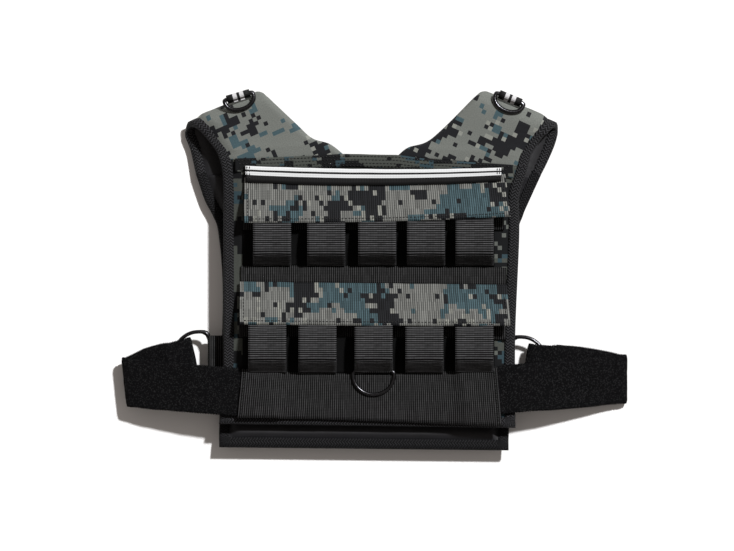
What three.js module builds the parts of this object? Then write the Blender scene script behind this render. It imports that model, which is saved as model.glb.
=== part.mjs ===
// Weighted vest, lying front up on its padded back with the belts spread.
// Millimetres, +Z up. The neck points along +Y and the origin is under the middle of the vest.
import * as THREE from 'three';

// Gap kept between pieces that touch.
const CLEAR = 0.3;

// Front half.
const FRONT_WIDTH = 296;
const FRONT_HEIGHT = 272;
const FRONT_PAD = 10;
const FRONT_SLANT = 2;
const HEM_WIDTH = 11;

// Back half.
const BACK_HEIGHT = 275;
const BACK_DROP = 21;
const BACK_SEAM_DROP = 19;
const BACK_PAD = 18;
const BACK_SLANT = 1.6;
const TORSO_GAP = 6;

// Shoulder straps.
const YOKE_WIDTH = 377.8;
const SHOULDER_RISE = 64;
const STRAP_PAD = 12;
const STRAP_LIFT = 0.5;
const SHOULDER_GAP = 7.2;

// Edge tape and the thin seam allowance that it holds.
const TAPE_WIDTH = 10.5;
const TAPE_WALL = 1;
const SEAM = 4;

// Padding thins down over a slope beside each edge. It is part full at the slope's middle.
const PAD_SLOPE = 9;
const TURNED_SLOPE = 12.6;
const TURNED_MIDDLE = 3.6;
const SLOPE_MIDDLE = 0.45;

// Webbing, cloth and the belts' pile strap.
const WEBBING = 2;
const CLOTH = 1.5;
const BELT = 3;
const BELT_WIDTH = 48;
const LEFT_REACH = 247.6;
const RIGHT_REACH = 256;

// Pockets: loops of 38 mm webbing.
const SLING_WIDTH = 37.4;
const SLING_DEPTH = 17.7;
const UPPER_SLING_DROP = 60;
const LOWER_SLING_DROP = 68;

// Rings.
const TAB_WALL = 1.3;
const CENTRE_RING = { inner: 38.4, wire: 3, depth: 26, arm: 4.94, tabWidth: 34.4 };
const SHOULDER_RING = { inner: 26.6, wire: 3.3, depth: 16, arm: 3.96, tabWidth: 24 };
const SIDE_RING = { inner: 51, wire: 3.5, depth: 39.5, arm: 13, tabWidth: 47 };
const CENTRE_RING_DOWN = 0.78676;
const CENTRE_TAIL = 20;
const SHOULDER_TAIL = 9;
const SHOULDER_TAIL_SINK = 0.1;

// Heights that follow from the layers.
const HALF = FRONT_WIDTH / 2;
const YOKE_HALF = YOKE_WIDTH / 2;
const BACK_MID = BACK_PAD / 2;
const FRONT_MID = BACK_PAD + TORSO_GAP + FRONT_PAD / 2;
const SEAT = FRONT_MID + FRONT_PAD / 2 + CLEAR;
const WEBBING_SEAT = SEAT + WEBBING + CLEAR;
const BACK_LEAF = STRAP_LIFT + STRAP_PAD / 2;
const FRONT_LEAF = BACK_LEAF + STRAP_PAD + SHOULDER_GAP;
const TAPE_HEIGHT = SEAM + 2 * (CLEAR + TAPE_WALL);

// Where the vest's middle and its neckline lie in the frame.
const MIDDLE_ACROSS = -2.95;
const NECKLINE_UP = 113.7;

const FINISH = {
  camo_fabric: { color: '#56605f', roughness: 0.9, metalness: 0 },
  camo_webbing: { color: '#65706f', roughness: 0.8, metalness: 0 },
  black_webbing: { color: '#1d1d1f', roughness: 0.75, metalness: 0 },
  binding_tape: { color: '#161618', roughness: 0.85, metalness: 0 },
  lining: { color: '#131315', roughness: 0.85, metalness: 0 },
  belt_pile: { color: '#0e0e10', roughness: 1, metalness: 0 },
  stripe: { color: '#c9cacc', roughness: 0.5, metalness: 0 },
  ring_metal: { color: '#2a2a2c', roughness: 0.3, metalness: 1 },
};

const vest = new THREE.Group();
vest.position.set(MIDDLE_ACROSS, NECKLINE_UP, 0);

const mix = THREE.MathUtils.lerp;
const point = (x, y, z) => new THREE.Vector3(x, y, z);

// Reads a value between the rows of a table.
function between(rows, key, at, value) {
  if (at <= rows[0][key]) return rows[0][value];
  for (let i = 1; i < rows.length; i += 1) {
    if (at <= rows[i][key]) {
      const share = (at - rows[i - 1][key]) / (rows[i][key] - rows[i - 1][key]);
      return mix(rows[i - 1][value], rows[i][value], share);
    }
  }
  return rows[rows.length - 1][value];
}

// A curve through three values at the left, the middle and the right.
function bow([left, middle, right], share) {
  const sag = middle - (left + right) / 2;
  return mix(left, right, share) + 4 * sag * share * (1 - share);
}

// Closes a shell of points and triangles into a named piece, faces outward.
function piece(name, finish, points, faces, parent = vest) {
  let volume = 0;
  for (const [a, b, c] of faces) {
    volume += points[a].dot(new THREE.Vector3().crossVectors(points[b], points[c]));
  }
  const outward = volume > 0 ? faces : faces.map(([a, b, c]) => [a, c, b]);
  const geometry = new THREE.BufferGeometry().setFromPoints(points);
  geometry.setIndex(outward.flat());
  geometry.computeVertexNormals();
  return place(name, finish, geometry, parent);
}

function place(name, finish, geometry, parent = vest) {
  const mesh = new THREE.Mesh(geometry, new THREE.MeshStandardMaterial(FINISH[finish]));
  mesh.name = name;
  parent.add(mesh);
  return mesh;
}

const quad = (a, b, c, d) => [[a, b, c], [a, c, d]];

// A sheet or pad between an upper and a lower grid of points.
function quilt(name, finish, upper, lower, parent = vest) {
  const rows = upper.length;
  const columns = upper[0].length;
  const under = rows * columns;
  const at = (r, c) => r * columns + c;
  const faces = [];
  for (let r = 0; r + 1 < rows; r += 1) {
    for (let c = 0; c + 1 < columns; c += 1) {
      const corners = [at(r, c), at(r, c + 1), at(r + 1, c + 1), at(r + 1, c)];
      faces.push(...quad(...corners));
      faces.push(...quad(...corners.map((i) => i + under).reverse()));
    }
  }
  const rim = [];
  for (let c = 0; c + 1 < columns; c += 1) rim.push([at(0, c + 1), at(0, c)]);
  for (let r = 0; r + 1 < rows; r += 1) rim.push([at(r, 0), at(r + 1, 0)]);
  for (let c = 0; c + 1 < columns; c += 1) rim.push([at(rows - 1, c), at(rows - 1, c + 1)]);
  for (let r = 0; r + 1 < rows; r += 1) rim.push([at(r + 1, columns - 1), at(r, columns - 1)]);
  for (const [a, b] of rim) faces.push(...quad(a, b, b + under, a + under));
  return piece(name, finish, [...upper.flat(), ...lower.flat()], faces, parent);
}

// Sweeps a flat shape of [inward, up] pairs along frames { at, inward, up }.
function sweep(name, finish, frames, shape, closed = false, parent = vest) {
  const outline = shape.map(([d, n]) => new THREE.Vector2(d, n));
  if (THREE.ShapeUtils.isClockWise(outline)) outline.reverse();
  const sides = outline.length;
  const points = frames.flatMap(({ at, inward, up }) => outline.map((corner) => (
    at.clone().addScaledVector(inward, corner.x).addScaledVector(up, corner.y))));
  const faces = [];
  const spans = closed ? frames.length : frames.length - 1;
  for (let i = 0; i < spans; i += 1) {
    const next = ((i + 1) % frames.length) * sides;
    for (let k = 0; k < sides; k += 1) {
      const l = (k + 1) % sides;
      faces.push(...quad(i * sides + k, i * sides + l, next + l, next + k));
    }
  }
  if (!closed) {
    const last = (frames.length - 1) * sides;
    for (const [a, b, c] of THREE.ShapeUtils.triangulateShape(outline, [])) {
      faces.push([c, b, a], [last + a, last + b, last + c]);
    }
  }
  return piece(name, finish, points, faces, parent);
}

const slab = (width, thick) => [
  [-width / 2, -thick / 2], [width / 2, -thick / 2], [width / 2, thick / 2], [-width / 2, thick / 2]];

// Tape folded over an edge: two legs and the wall that joins them.
const TAPE_PROFILE = (() => {
  const outside = TAPE_HEIGHT / 2;
  const inside = outside - TAPE_WALL;
  return [
    [TAPE_WIDTH, outside], [0, outside], [0, -outside], [TAPE_WIDTH, -outside],
    [TAPE_WIDTH, -inside], [TAPE_WALL, -inside], [TAPE_WALL, inside], [TAPE_WIDTH, inside]];
})();
const EDGE = TAPE_WALL + 2.5 * CLEAR;
const SLOPE_START = TAPE_WIDTH + CLEAR;
const SLOPE_PART = SLOPE_START + PAD_SLOPE * SLOPE_MIDDLE;
const SLOPE_END = SLOPE_START + PAD_SLOPE;

// Share of the full padding at a distance from a taped edge.
function fill(distance) {
  const share = THREE.MathUtils.clamp((distance - SLOPE_START) / PAD_SLOPE, 0, 1);
  return Math.sin(share * Math.PI / 2);
}

// Hem line across the chest: drop below the neckline, in hem widths.
const HEM_LINE = [
  { across: -1.08, drop: 0.4 },
  { across: -0.65, drop: 0.23 },
  { across: -0.18, drop: -0.09 },
  { across: 0.17, drop: 0 },
  { across: 0.4, drop: 0.4 },
  { across: 0.7, drop: 0.68 },
  { across: 1.1, drop: 1.05 },
];
const hemLine = (x) => -HEM_WIDTH * between(HEM_LINE, 'across', x / HALF, 'drop');

// Taped sides from the seam down, in half widths from the middle.
const FRONT_SIDES = [
  { down: 0, left: 1.024, right: 1.058 },
  { down: 0.04, left: 1.008, right: 1.038 },
  { down: 0.12, left: 1, right: 0.998 },
  { down: 0.27, left: 1, right: 1 },
  { down: 0.64, left: 1, right: 0.973 },
  { down: 0.9, left: 1.006, right: 0.973 },
  { down: 1, left: 1.03, right: 0.975 },
];
const BACK_SIDES = [
  { down: 0, left: 1.184, right: 1.147 },
  { down: 0.095, left: 1.124, right: 1.066 },
  { down: 0.147, left: 1.074, right: 1.025 },
  { down: 0.22, left: 1.032, right: 0.99 },
  { down: 0.45, left: 1.004, right: 0.975 },
  { down: 0.93, left: 1.028, right: 0.93 },
  { down: 1, left: 1.028, right: 0.928 },
];

// The seam where each half meets the straps, and its bottom edge.
const FRONT = {
  sides: FRONT_SIDES,
  top: hemLine,
  bottom: (x) => -FRONT_HEIGHT + FRONT_SLANT * (1 - x / HALF),
  mid: FRONT_MID,
  pad: FRONT_PAD,
};
const BACK = {
  sides: BACK_SIDES,
  top: () => -BACK_SEAM_DROP,
  bottom: (x) => -FRONT_HEIGHT - BACK_DROP - BACK_SLANT * (x / HALF),
  mid: BACK_MID,
  pad: BACK_PAD,
};

// How much further across a slanted side a distance square to it reaches.
const SLANT_REACH = 0.04;
function slant(sides, end, share, drop) {
  const above = between(sides, 'down', share - SLANT_REACH, end);
  const below = between(sides, 'down', share + SLANT_REACH, end);
  return Math.hypot(1, HALF * (below - above) / (SLANT_REACH * drop));
}

// A padded half: thin where the tape holds it, full from the slope inward.
const PANEL_SHARES = [0.25, 0.5, 0.75];
const ROW_GAP = 4;
function paddedHalf(name, finish, half) {
  const border = [EDGE, SLOPE_START, SLOPE_PART, SLOPE_END];
  const drop = half.top(0) - half.bottom(0);
  const downs = half.sides.map((row) => row.down * drop);
  const rows = [
    ...downs.filter((down) => down < drop - SLOPE_END - ROW_GAP).map((down) => ({ down })),
    ...border.map((edge) => ({ edge })).reverse(),
  ];
  const upper = [];
  const lower = [];
  for (const row of rows) {
    const down = row.edge === undefined ? row.down : drop - row.edge;
    const left = -HALF * between(half.sides, 'down', down / drop, 'left');
    const right = HALF * between(half.sides, 'down', down / drop, 'right');
    const leftSlant = slant(half.sides, 'left', down / drop, drop);
    const rightSlant = slant(half.sides, 'right', down / drop, drop);
    const stations = [
      ...border.map((edge) => [left + edge * leftSlant, edge]),
      ...PANEL_SHARES.map((share) => [mix(left, right, share), HALF]),
      ...border.map((edge) => [right - edge * rightSlant, edge]).reverse(),
    ];
    const line = stations.map(([x, side]) => {
      const y = row.edge === undefined
        ? mix(half.top(x), half.bottom(x), down / drop)
        : half.bottom(x) + row.edge;
      const share = Math.min(fill(side), row.edge === undefined ? 1 : fill(row.edge));
      return { x, y, thick: mix(SEAM, half.pad, share) / 2 };
    });
    upper.push(line.map(({ x, y, thick }) => point(x, y, half.mid + thick)));
    lower.push(line.map(({ x, y, thick }) => point(x, y, half.mid - thick)));
  }
  return quilt(name, finish, upper, lower);
}

// The tape runs down one side, along the bottom and up the other side.
function edgeTape(name, half) {
  const corner = half.sides[half.sides.length - 1];
  const side = (row, sign) => {
    const x = sign * HALF * (sign < 0 ? row.left : row.right);
    return new THREE.Vector2(x, mix(half.top(x), half.bottom(x), row.down));
  };
  const path = [
    ...half.sides.slice(0, -1).map((row) => side(row, -1)),
    side(corner, -1),
    side(corner, 1),
    ...half.sides.slice(0, -1).map((row) => side(row, 1)).reverse(),
  ];
  const frames = path.map((at, i) => {
    const inward = new THREE.Vector2(i === 0 ? 1 : -1, 0);
    if (i > 0 && i + 1 < path.length) {
      const before = at.clone().sub(path[i - 1]).normalize();
      const after = path[i + 1].clone().sub(at).normalize();
      const normal = new THREE.Vector2(-before.y - after.y, before.x + after.x).normalize();
      inward.copy(normal).divideScalar(-before.y * normal.x + before.x * normal.y);
    }
    return {
      at: point(at.x, at.y, half.mid),
      inward: point(inward.x, inward.y, 0),
      up: point(0, 0, 1),
    };
  });
  return sweep(name, 'binding_tape', frames, TAPE_PROFILE);
}

// Strap edges from the hem to the shoulder fold and on down the back leaf.
// Across in half yoke widths from the middle, up in shoulder rises above the neckline,
// level 0 on the back leaf and 1 on the front leaf, pad as a share of the strap's padding.
const LEFT_STRAP = {
  front: [
    { outer: 0.802, outerUp: -0.03, inner: 0.1435, innerUp: 0, level: 1.17, pad: 0.62 },
    { outer: 0.822, outerUp: 0.078, inner: 0.219, innerUp: 0.1875, level: 1.1, pad: 0.92 },
    { outer: 0.851, outerUp: 0.195, inner: 0.314, innerUp: 0.281, level: 1.03, pad: 1 },
    { outer: 0.883, outerUp: 0.312, inner: 0.399, innerUp: 0.508, level: 1, pad: 1 },
    { outer: 0.904, outerUp: 0.383, inner: 0.52, innerUp: 0.844, level: 1, pad: 1 },
  ],
  back: [
    { outer: 0.986, outerUp: 0.3125, inner: 0.581, innerUp: 0.773, level: 0, pad: 1 },
    { outer: 0.96, outerUp: 0.1125, inner: 0.552, innerUp: 0.453, level: 0, pad: 1 },
    { outer: 0.944, outerUp: -0.078, inner: 0.473, innerUp: 0.094, level: 0.05, pad: 1 },
    { outer: 0.928, outerUp: -0.28, inner: 0.192, innerUp: -0.28, level: 0.13, pad: 0.95 },
  ],
};
const RIGHT_STRAP = {
  front: [
    { outer: 0.829, outerUp: -0.16, inner: 0.1376, innerUp: 0, level: 1.17, pad: 0.62 },
    { outer: 0.845, outerUp: 0.008, inner: 0.194, innerUp: 0.133, level: 1.1, pad: 0.92 },
    { outer: 0.872, outerUp: 0.14, inner: 0.2927, innerUp: 0.222, level: 1.03, pad: 1 },
    { outer: 0.909, outerUp: 0.297, inner: 0.385, innerUp: 0.445, level: 1, pad: 1 },
    { outer: 0.93, outerUp: 0.344, inner: 0.5225, innerUp: 0.852, level: 1, pad: 1 },
  ],
  back: [
    { outer: 0.986, outerUp: 0.328, inner: 0.578, innerUp: 0.781, level: 0, pad: 1 },
    { outer: 0.967, outerUp: 0.14, inner: 0.544, innerUp: 0.453, level: 0, pad: 1 },
    { outer: 0.93, outerUp: -0.11, inner: 0.464, innerUp: 0.094, level: 0.05, pad: 1 },
    { outer: 0.898, outerUp: -0.28, inner: 0.1837, innerUp: -0.28, level: 0.13, pad: 0.95 },
  ],
};
const FOLD_STEPS = 6;

function strapRows(table, sign) {
  const row = ({ outer, outerUp, inner, innerUp, level, pad }, up) => ({
    outer: point(sign * YOKE_HALF * outer, SHOULDER_RISE * outerUp, mix(BACK_LEAF, FRONT_LEAF, level)),
    inner: point(sign * YOKE_HALF * inner, SHOULDER_RISE * innerUp, mix(BACK_LEAF, FRONT_LEAF, level)),
    normal: point(0, 0, up),
    pad,
  });
  const front = table.front.map((entry) => row(entry, 1));
  const back = table.back.map((entry) => row(entry, -1));
  const start = front[front.length - 1];
  const end = back[0];
  const along = start.inner.clone().sub(start.outer).setZ(0).normalize();
  const outward = point(-sign * -along.y, -sign * along.x, 0);
  const radius = (FRONT_LEAF - BACK_LEAF) / 2;
  const fold = [];
  for (let step = 1; step < FOLD_STEPS; step += 1) {
    const angle = Math.PI * step / FOLD_STEPS;
    const bulge = outward.clone().multiplyScalar(radius * Math.sin(angle));
    const turn = (edge) => {
      const at = start[edge].clone().lerp(end[edge], step / FOLD_STEPS).add(bulge);
      return at.setZ((FRONT_LEAF + BACK_LEAF) / 2 + radius * Math.cos(angle));
    };
    const normal = outward.clone().multiplyScalar(Math.sin(angle)).setZ(Math.cos(angle));
    fold.push({ outer: turn('outer'), inner: turn('inner'), normal, pad: 1 });
  }
  return [...front, ...fold, ...back];
}

// Puts a point of a strap's first or last row on the seam that it is sewn to.
function onSeam(at, index, count) {
  if (index === 0) at.y = hemLine(at.x) + CLEAR;
  if (index === count - 1) at.y = -BACK_SEAM_DROP + CLEAR;
  return at;
}

const STRAP_MIDDLE = 0.6;
function shoulderStrap(name, rows) {
  const upper = [];
  const lower = [];
  rows.forEach(({ outer, inner, normal, pad }, index) => {
    const width = outer.distanceTo(inner);
    const full = STRAP_PAD * pad;
    const part = mix(SEAM, full, fill(SLOPE_PART));
    const columns = [
      [EDGE, SEAM], [SLOPE_START, SEAM], [SLOPE_PART, part], [SLOPE_END, full],
      [width * STRAP_MIDDLE, full], [width - TURNED_SLOPE, full], [width - TURNED_MIDDLE, part],
      [width, SEAM],
    ];
    const mids = columns.map(([d, thick]) => ({
      at: onSeam(outer.clone().lerp(inner, d / width), index, rows.length),
      thick,
    }));
    upper.push(mids.map(({ at, thick }) => at.clone().addScaledVector(normal, thick / 2)));
    lower.push(mids.map(({ at, thick }) => at.clone().addScaledVector(normal, -thick / 2)));
  });
  return quilt(name, 'camo_fabric', upper, lower);
}

function strapTape(name, rows) {
  const frames = rows.map(({ outer, inner, normal }, index) => ({
    at: onSeam(outer.clone(), index, rows.length),
    inward: inner.clone().sub(outer).setZ(0).normalize(),
    up: normal,
  }));
  for (const index of [0, frames.length - 1]) {
    frames[index].inward = point(Math.sign(frames[index].inward.x), 0, 0);
  }
  return sweep(name, 'binding_tape', frames, TAPE_PROFILE);
}

// Strips sewn across the front. Sides in half widths from the middle, top then bottom.
// Edges in front heights below the neckline, at the left, the middle and the right.
const STRIPS = [
  {
    name: 'reflective_tape', finish: 'stripe', thick: CLOTH, seat: SEAT + CLOTH + WEBBING + 2 * CLEAR,
    left: [-0.85, -0.85], right: [0.879, 0.879],
    upper: [0.033, 0.046, 0.04], lower: [0.0956, 0.108, 0.092],
  },
  {
    name: 'upper_flap', finish: 'camo_webbing', thick: WEBBING, seat: SEAT + CLOTH + CLEAR,
    left: [-0.859, -0.859], right: [0.906, 0.94],
    upper: [0.062, 0.075, 0.066], lower: [0.2445, 0.2407, 0.222], flat: 0.27,
  },
  {
    name: 'pocket_backing_upper', finish: 'black_webbing', thick: WEBBING, seat: SEAT,
    left: [-0.867, -0.867], right: [0.897, 0.897],
    upper: [0.135, 0.135, 0.135], lower: [0.272, 0.272, 0.272],
  },
  {
    name: 'middle_strip', finish: 'black_webbing', thick: WEBBING, seat: SEAT,
    left: [-0.88, -0.88], right: [0.912, 0.912],
    upper: [0.403, 0.405, 0.41], lower: [0.4688, 0.475, 0.48],
  },
  {
    name: 'lower_flap', finish: 'camo_webbing', thick: WEBBING, seat: WEBBING_SEAT,
    left: [-0.889, -0.889], right: [0.918, 0.943],
    upper: [0.462, 0.468, 0.473], lower: [0.618, 0.6235, 0.6245], flat: 0.12,
  },
  {
    name: 'pocket_backing_lower', finish: 'black_webbing', thick: WEBBING, seat: SEAT,
    left: [-0.894, -0.894], right: [0.91, 0.91],
    upper: [0.5, 0.5, 0.5], lower: [0.665, 0.666, 0.676],
  },
  {
    name: 'lower_band', finish: 'black_webbing', thick: WEBBING, seat: SEAT,
    left: [-0.874, -0.904], right: [0.851, 0.883],
    upper: [0.783, 0.8, 0.779], lower: [0.961, 0.974, 0.995], overBelts: BELT + CLEAR,
  },
];
const FLAP_LIFT = 15.2;
const STRIP_SPANS = 10;

// The lower band climbs over the belts' ends between these distances from its own ends.
const BAND_WIDTH = 259;
const BELT_CLIMB = { low: 48, high: 34.5 };

// Height of a strip's underside over its seat, by share down and across.
function stripLift(strip, down, across) {
  if (strip.flat !== undefined) {
    return FLAP_LIFT * Math.max(0, (down - strip.flat) / (1 - strip.flat));
  }
  if (strip.overBelts !== undefined) {
    const fromEnd = Math.min(across, 1 - across) * BAND_WIDTH;
    const share = (BELT_CLIMB.low - fromEnd) / (BELT_CLIMB.low - BELT_CLIMB.high);
    return strip.overBelts * THREE.MathUtils.clamp(share, 0, 1);
  }
  return 0;
}

function sewnStrip(strip) {
  const downs = strip.flat === undefined ? [0, 1] : [0, strip.flat, (1 + strip.flat) / 2, 1];
  const edge = (side, down) => HALF * mix(side[0], side[1], down);
  const stations = Array.from({ length: STRIP_SPANS + 1 }, (_, i) => i / STRIP_SPANS);
  const grid = (lift) => downs.map((down) => stations.map((across) => point(
    mix(edge(strip.left, down), edge(strip.right, down), across),
    -FRONT_HEIGHT * mix(bow(strip.upper, across), bow(strip.lower, across), down),
    strip.seat + lift + stripLift(strip, down, across))));
  return quilt(strip.name, strip.finish, grid(strip.thick), grid(0));
}

const HEM_ENDS = { left: -0.92, right: 0.957 };
function topHem() {
  const stations = Array.from({ length: STRIP_SPANS + 1 }, (_, i) => (
    HALF * mix(HEM_ENDS.left, HEM_ENDS.right, i / STRIP_SPANS)));
  const grid = (z) => [0, HEM_WIDTH].map((drop) => stations.map((x) => (
    point(x, hemLine(x) + CLEAR - drop, z))));
  return quilt('top_hem', 'camo_fabric', grid(SEAT + CLOTH), grid(SEAT));
}

// Pocket loops. Down in drops from the sewn top, out in depths from the backing.
const SLING_FACE = [
  { down: 0, out: 0 },
  { down: 0.035, out: 0.23 },
  { down: 0.12, out: 0.48 },
  { down: 0.225, out: 0.68 },
  { down: 0.31, out: 0.82 },
  { down: 0.44, out: 0.95 },
  { down: 0.61, out: 1 },
  { down: 0.765, out: 0.965 },
  { down: 0.883, out: 0.82 },
];
const UPPER_TURN = [
  { down: 0.967, out: 0.54 },
  { down: 1, out: 0.28 },
  { down: 0.975, out: 0.08 },
  { down: 0.883, out: 0 },
];
const LOWER_TURN = [
  { down: 0.963, out: 0.68 },
  { down: 1, out: 0.53 },
  { down: 0.965, out: 0.41 },
  { down: 0.82, out: 0.2 },
  { down: 0.68, out: 0 },
];
const POCKET_ROWS = [
  {
    name: 'pocket_upper', turn: UPPER_TURN, drop: UPPER_SLING_DROP, bottom: 0.4044,
    across: [-0.6706, -0.3051, 0.0392, 0.3693, 0.698],
  },
  {
    name: 'pocket_lower', turn: LOWER_TURN, drop: LOWER_SLING_DROP, bottom: 0.8015,
    across: [-0.7034, -0.3642, 0.0155, 0.3588, 0.6966],
  },
];
const CENTRE_SLING = POCKET_ROWS[1].across[2];

// Frames round a closed outline drawn on two axes, each corner's inward side mitred.
const MITRE_LIMIT = 0.5;
function loopFrames(outline, xAxis, yAxis, up) {
  const side = THREE.ShapeUtils.isClockWise(outline) ? -1 : 1;
  return outline.map((at, i) => {
    const before = at.clone().sub(outline.at(i - 1)).normalize();
    const after = outline[(i + 1) % outline.length].clone().sub(at).normalize();
    const normal = new THREE.Vector2(-before.y - after.y, before.x + after.x).normalize();
    const mitre = side / Math.max(MITRE_LIMIT, -before.y * normal.x + before.x * normal.y);
    const inward = xAxis.clone().multiplyScalar(normal.x * mitre).addScaledVector(yAxis, normal.y * mitre);
    return { at: xAxis.clone().multiplyScalar(at.x).addScaledVector(yAxis, at.y), inward, up };
  });
}

function pocketSling(name, row, across) {
  const outline = [...SLING_FACE, ...row.turn].map(({ down, out }) => (
    new THREE.Vector2(down * row.drop, out * SLING_DEPTH)));
  const frames = loopFrames(outline, point(0, -1, 0), point(0, 0, 1), point(1, 0, 0));
  const half = SLING_WIDTH / 2;
  const wall = [[0, -half], [WEBBING, -half], [WEBBING, half], [0, half]];
  const mesh = sweep(name, 'black_webbing', frames, wall, true);
  mesh.position.set(HALF * across, row.drop - FRONT_HEIGHT * row.bottom, WEBBING_SEAT);
  return mesh;
}

// D-ring in its own frame: the bar lies on X, the bow reaches along -Y.
const RING_SIDES = 6;
const BOW_STEPS = 14;
function dRing(name, ring, parent) {
  const half = (ring.inner + ring.wire) / 2;
  const path = [new THREE.Vector2(half, 0)];
  for (let step = 0; step <= BOW_STEPS; step += 1) {
    const angle = Math.PI * step / BOW_STEPS;
    const reach = ring.arm + (ring.depth - ring.wire / 2 - ring.arm) * Math.sin(angle);
    path.push(new THREE.Vector2(half * Math.cos(angle), -reach));
  }
  path.push(new THREE.Vector2(-half, 0));
  const frames = loopFrames(path, point(1, 0, 0), point(0, 1, 0), point(0, 0, 1));
  const round = Array.from({ length: RING_SIDES }, (_, k) => {
    const angle = 2 * Math.PI * (k + 0.5) / RING_SIDES;
    return [ring.wire / 2 * Math.cos(angle), ring.wire / 2 * Math.sin(angle)];
  });
  return sweep(name, 'ring_metal', frames, round, true, parent);
}

// Webbing tab looped round a ring's bar, its tail along the given side of the bar.
// The tail ends lower than the loop by the sink. The loop turns between two angles in half turns.
const LOOP_STEPS = 8;
const LOOP_TURN = { from: -0.5, to: 0.93 };
const TAIL_KNEE = { out: 1.2, sunk: 0.3 };
function loopTab(name, ring, tail, side, sink, parent) {
  const radius = ring.wire / 2 + CLEAR + TAB_WALL / 2;
  const path = [[-tail, -radius - sink], [-radius * TAIL_KNEE.out, -radius - sink * TAIL_KNEE.sunk]];
  for (let step = 0; step <= LOOP_STEPS; step += 1) {
    const angle = Math.PI * mix(LOOP_TURN.from, LOOP_TURN.to, step / LOOP_STEPS);
    path.push([radius * Math.cos(angle), radius * Math.sin(angle)]);
  }
  const frames = path.map(([y, z], i) => {
    const from = path[Math.max(0, i - 1)];
    const to = path[Math.min(path.length - 1, i + 1)];
    const ahead = new THREE.Vector2(to[0] - from[0], to[1] - from[1]).normalize();
    return { at: point(0, side * y, z), inward: point(1, 0, 0), up: point(0, -side * ahead.y, ahead.x) };
  });
  return sweep(name, 'black_webbing', frames, slab(ring.tabWidth, TAB_WALL), false, parent);
}

const loopReach = (ring) => ring.wire / 2 + CLEAR + TAB_WALL;

function turned(x, y, z, angle) {
  const group = new THREE.Group();
  group.position.set(x, y, z);
  group.rotation.z = angle;
  vest.add(group);
  return group;
}

// The centre ring hangs under the middle pocket and lies on the lower band.
function centreRing() {
  const height = WEBBING_SEAT + CENTRE_RING.wire / 2 + CLEAR;
  const bar = turned(HALF * CENTRE_SLING, -FRONT_HEIGHT * CENTRE_RING_DOWN, height, 0);
  dRing('centre_ring', CENTRE_RING, bar);
  const sink = height - loopReach(CENTRE_RING) - SEAT;
  loopTab('centre_ring_tab', CENTRE_RING, CENTRE_TAIL, -1, sink, bar);
}

// Shoulder rings lie flipped down over their tabs on the shoulder folds.
const SHOULDER_TABS = [
  { end: 'left', across: -0.705, up: 0.947, turn: 0.288, sunk: -0.01 },
  { end: 'right', across: 0.737, up: 0.914, turn: -0.39, sunk: 0.07 },
];
function shoulderRing({ end, across, up, turn, sunk }) {
  const sink = STRAP_PAD * sunk;
  const top = FRONT_LEAF + STRAP_PAD / 2 - sink;
  const lean = -Math.asin((CLEAR + SHOULDER_RING.wire / 2 + sink) / SHOULDER_RING.depth);
  const bar = turned(YOKE_HALF * across, SHOULDER_RISE * up, top, turn);
  const ring = new THREE.Group();
  ring.rotation.x = lean;
  bar.add(ring);
  dRing(`shoulder_ring_${end}`, SHOULDER_RING, ring);
  loopTab(`shoulder_ring_tab_${end}`, SHOULDER_RING, SHOULDER_TAIL, 1, SHOULDER_TAIL_SINK, bar);
}

// Side rings lie flat beside the back panel, held by tabs sewn on its taped edge.
const SIDE_TABS = [
  { end: 'left', sign: -1, across: 1.083, down: 0.746 },
  { end: 'right', sign: 1, across: 0.93, down: 0.765 },
];
const SIDE_RING_HEIGHT = BACK_MID + TAPE_HEIGHT / 2 + CLEAR + loopReach(SIDE_RING);
function sideRing({ end, sign, across, down }) {
  const share = (FRONT_HEIGHT * down - BACK_SEAM_DROP) / BACK_HEIGHT;
  const flatEnd = HALF * between(BACK_SIDES, 'down', share, end) - SLOPE_START;
  const tail = HALF * across - flatEnd - 2 * CLEAR;
  const bar = turned(sign * HALF * across, -FRONT_HEIGHT * down, SIDE_RING_HEIGHT, sign * Math.PI / 2);
  dRing(`side_ring_${end}`, SIDE_RING, bar);
  loopTab(`side_ring_tab_${end}`, SIDE_RING, tail, -1, 0, bar);
}

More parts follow.
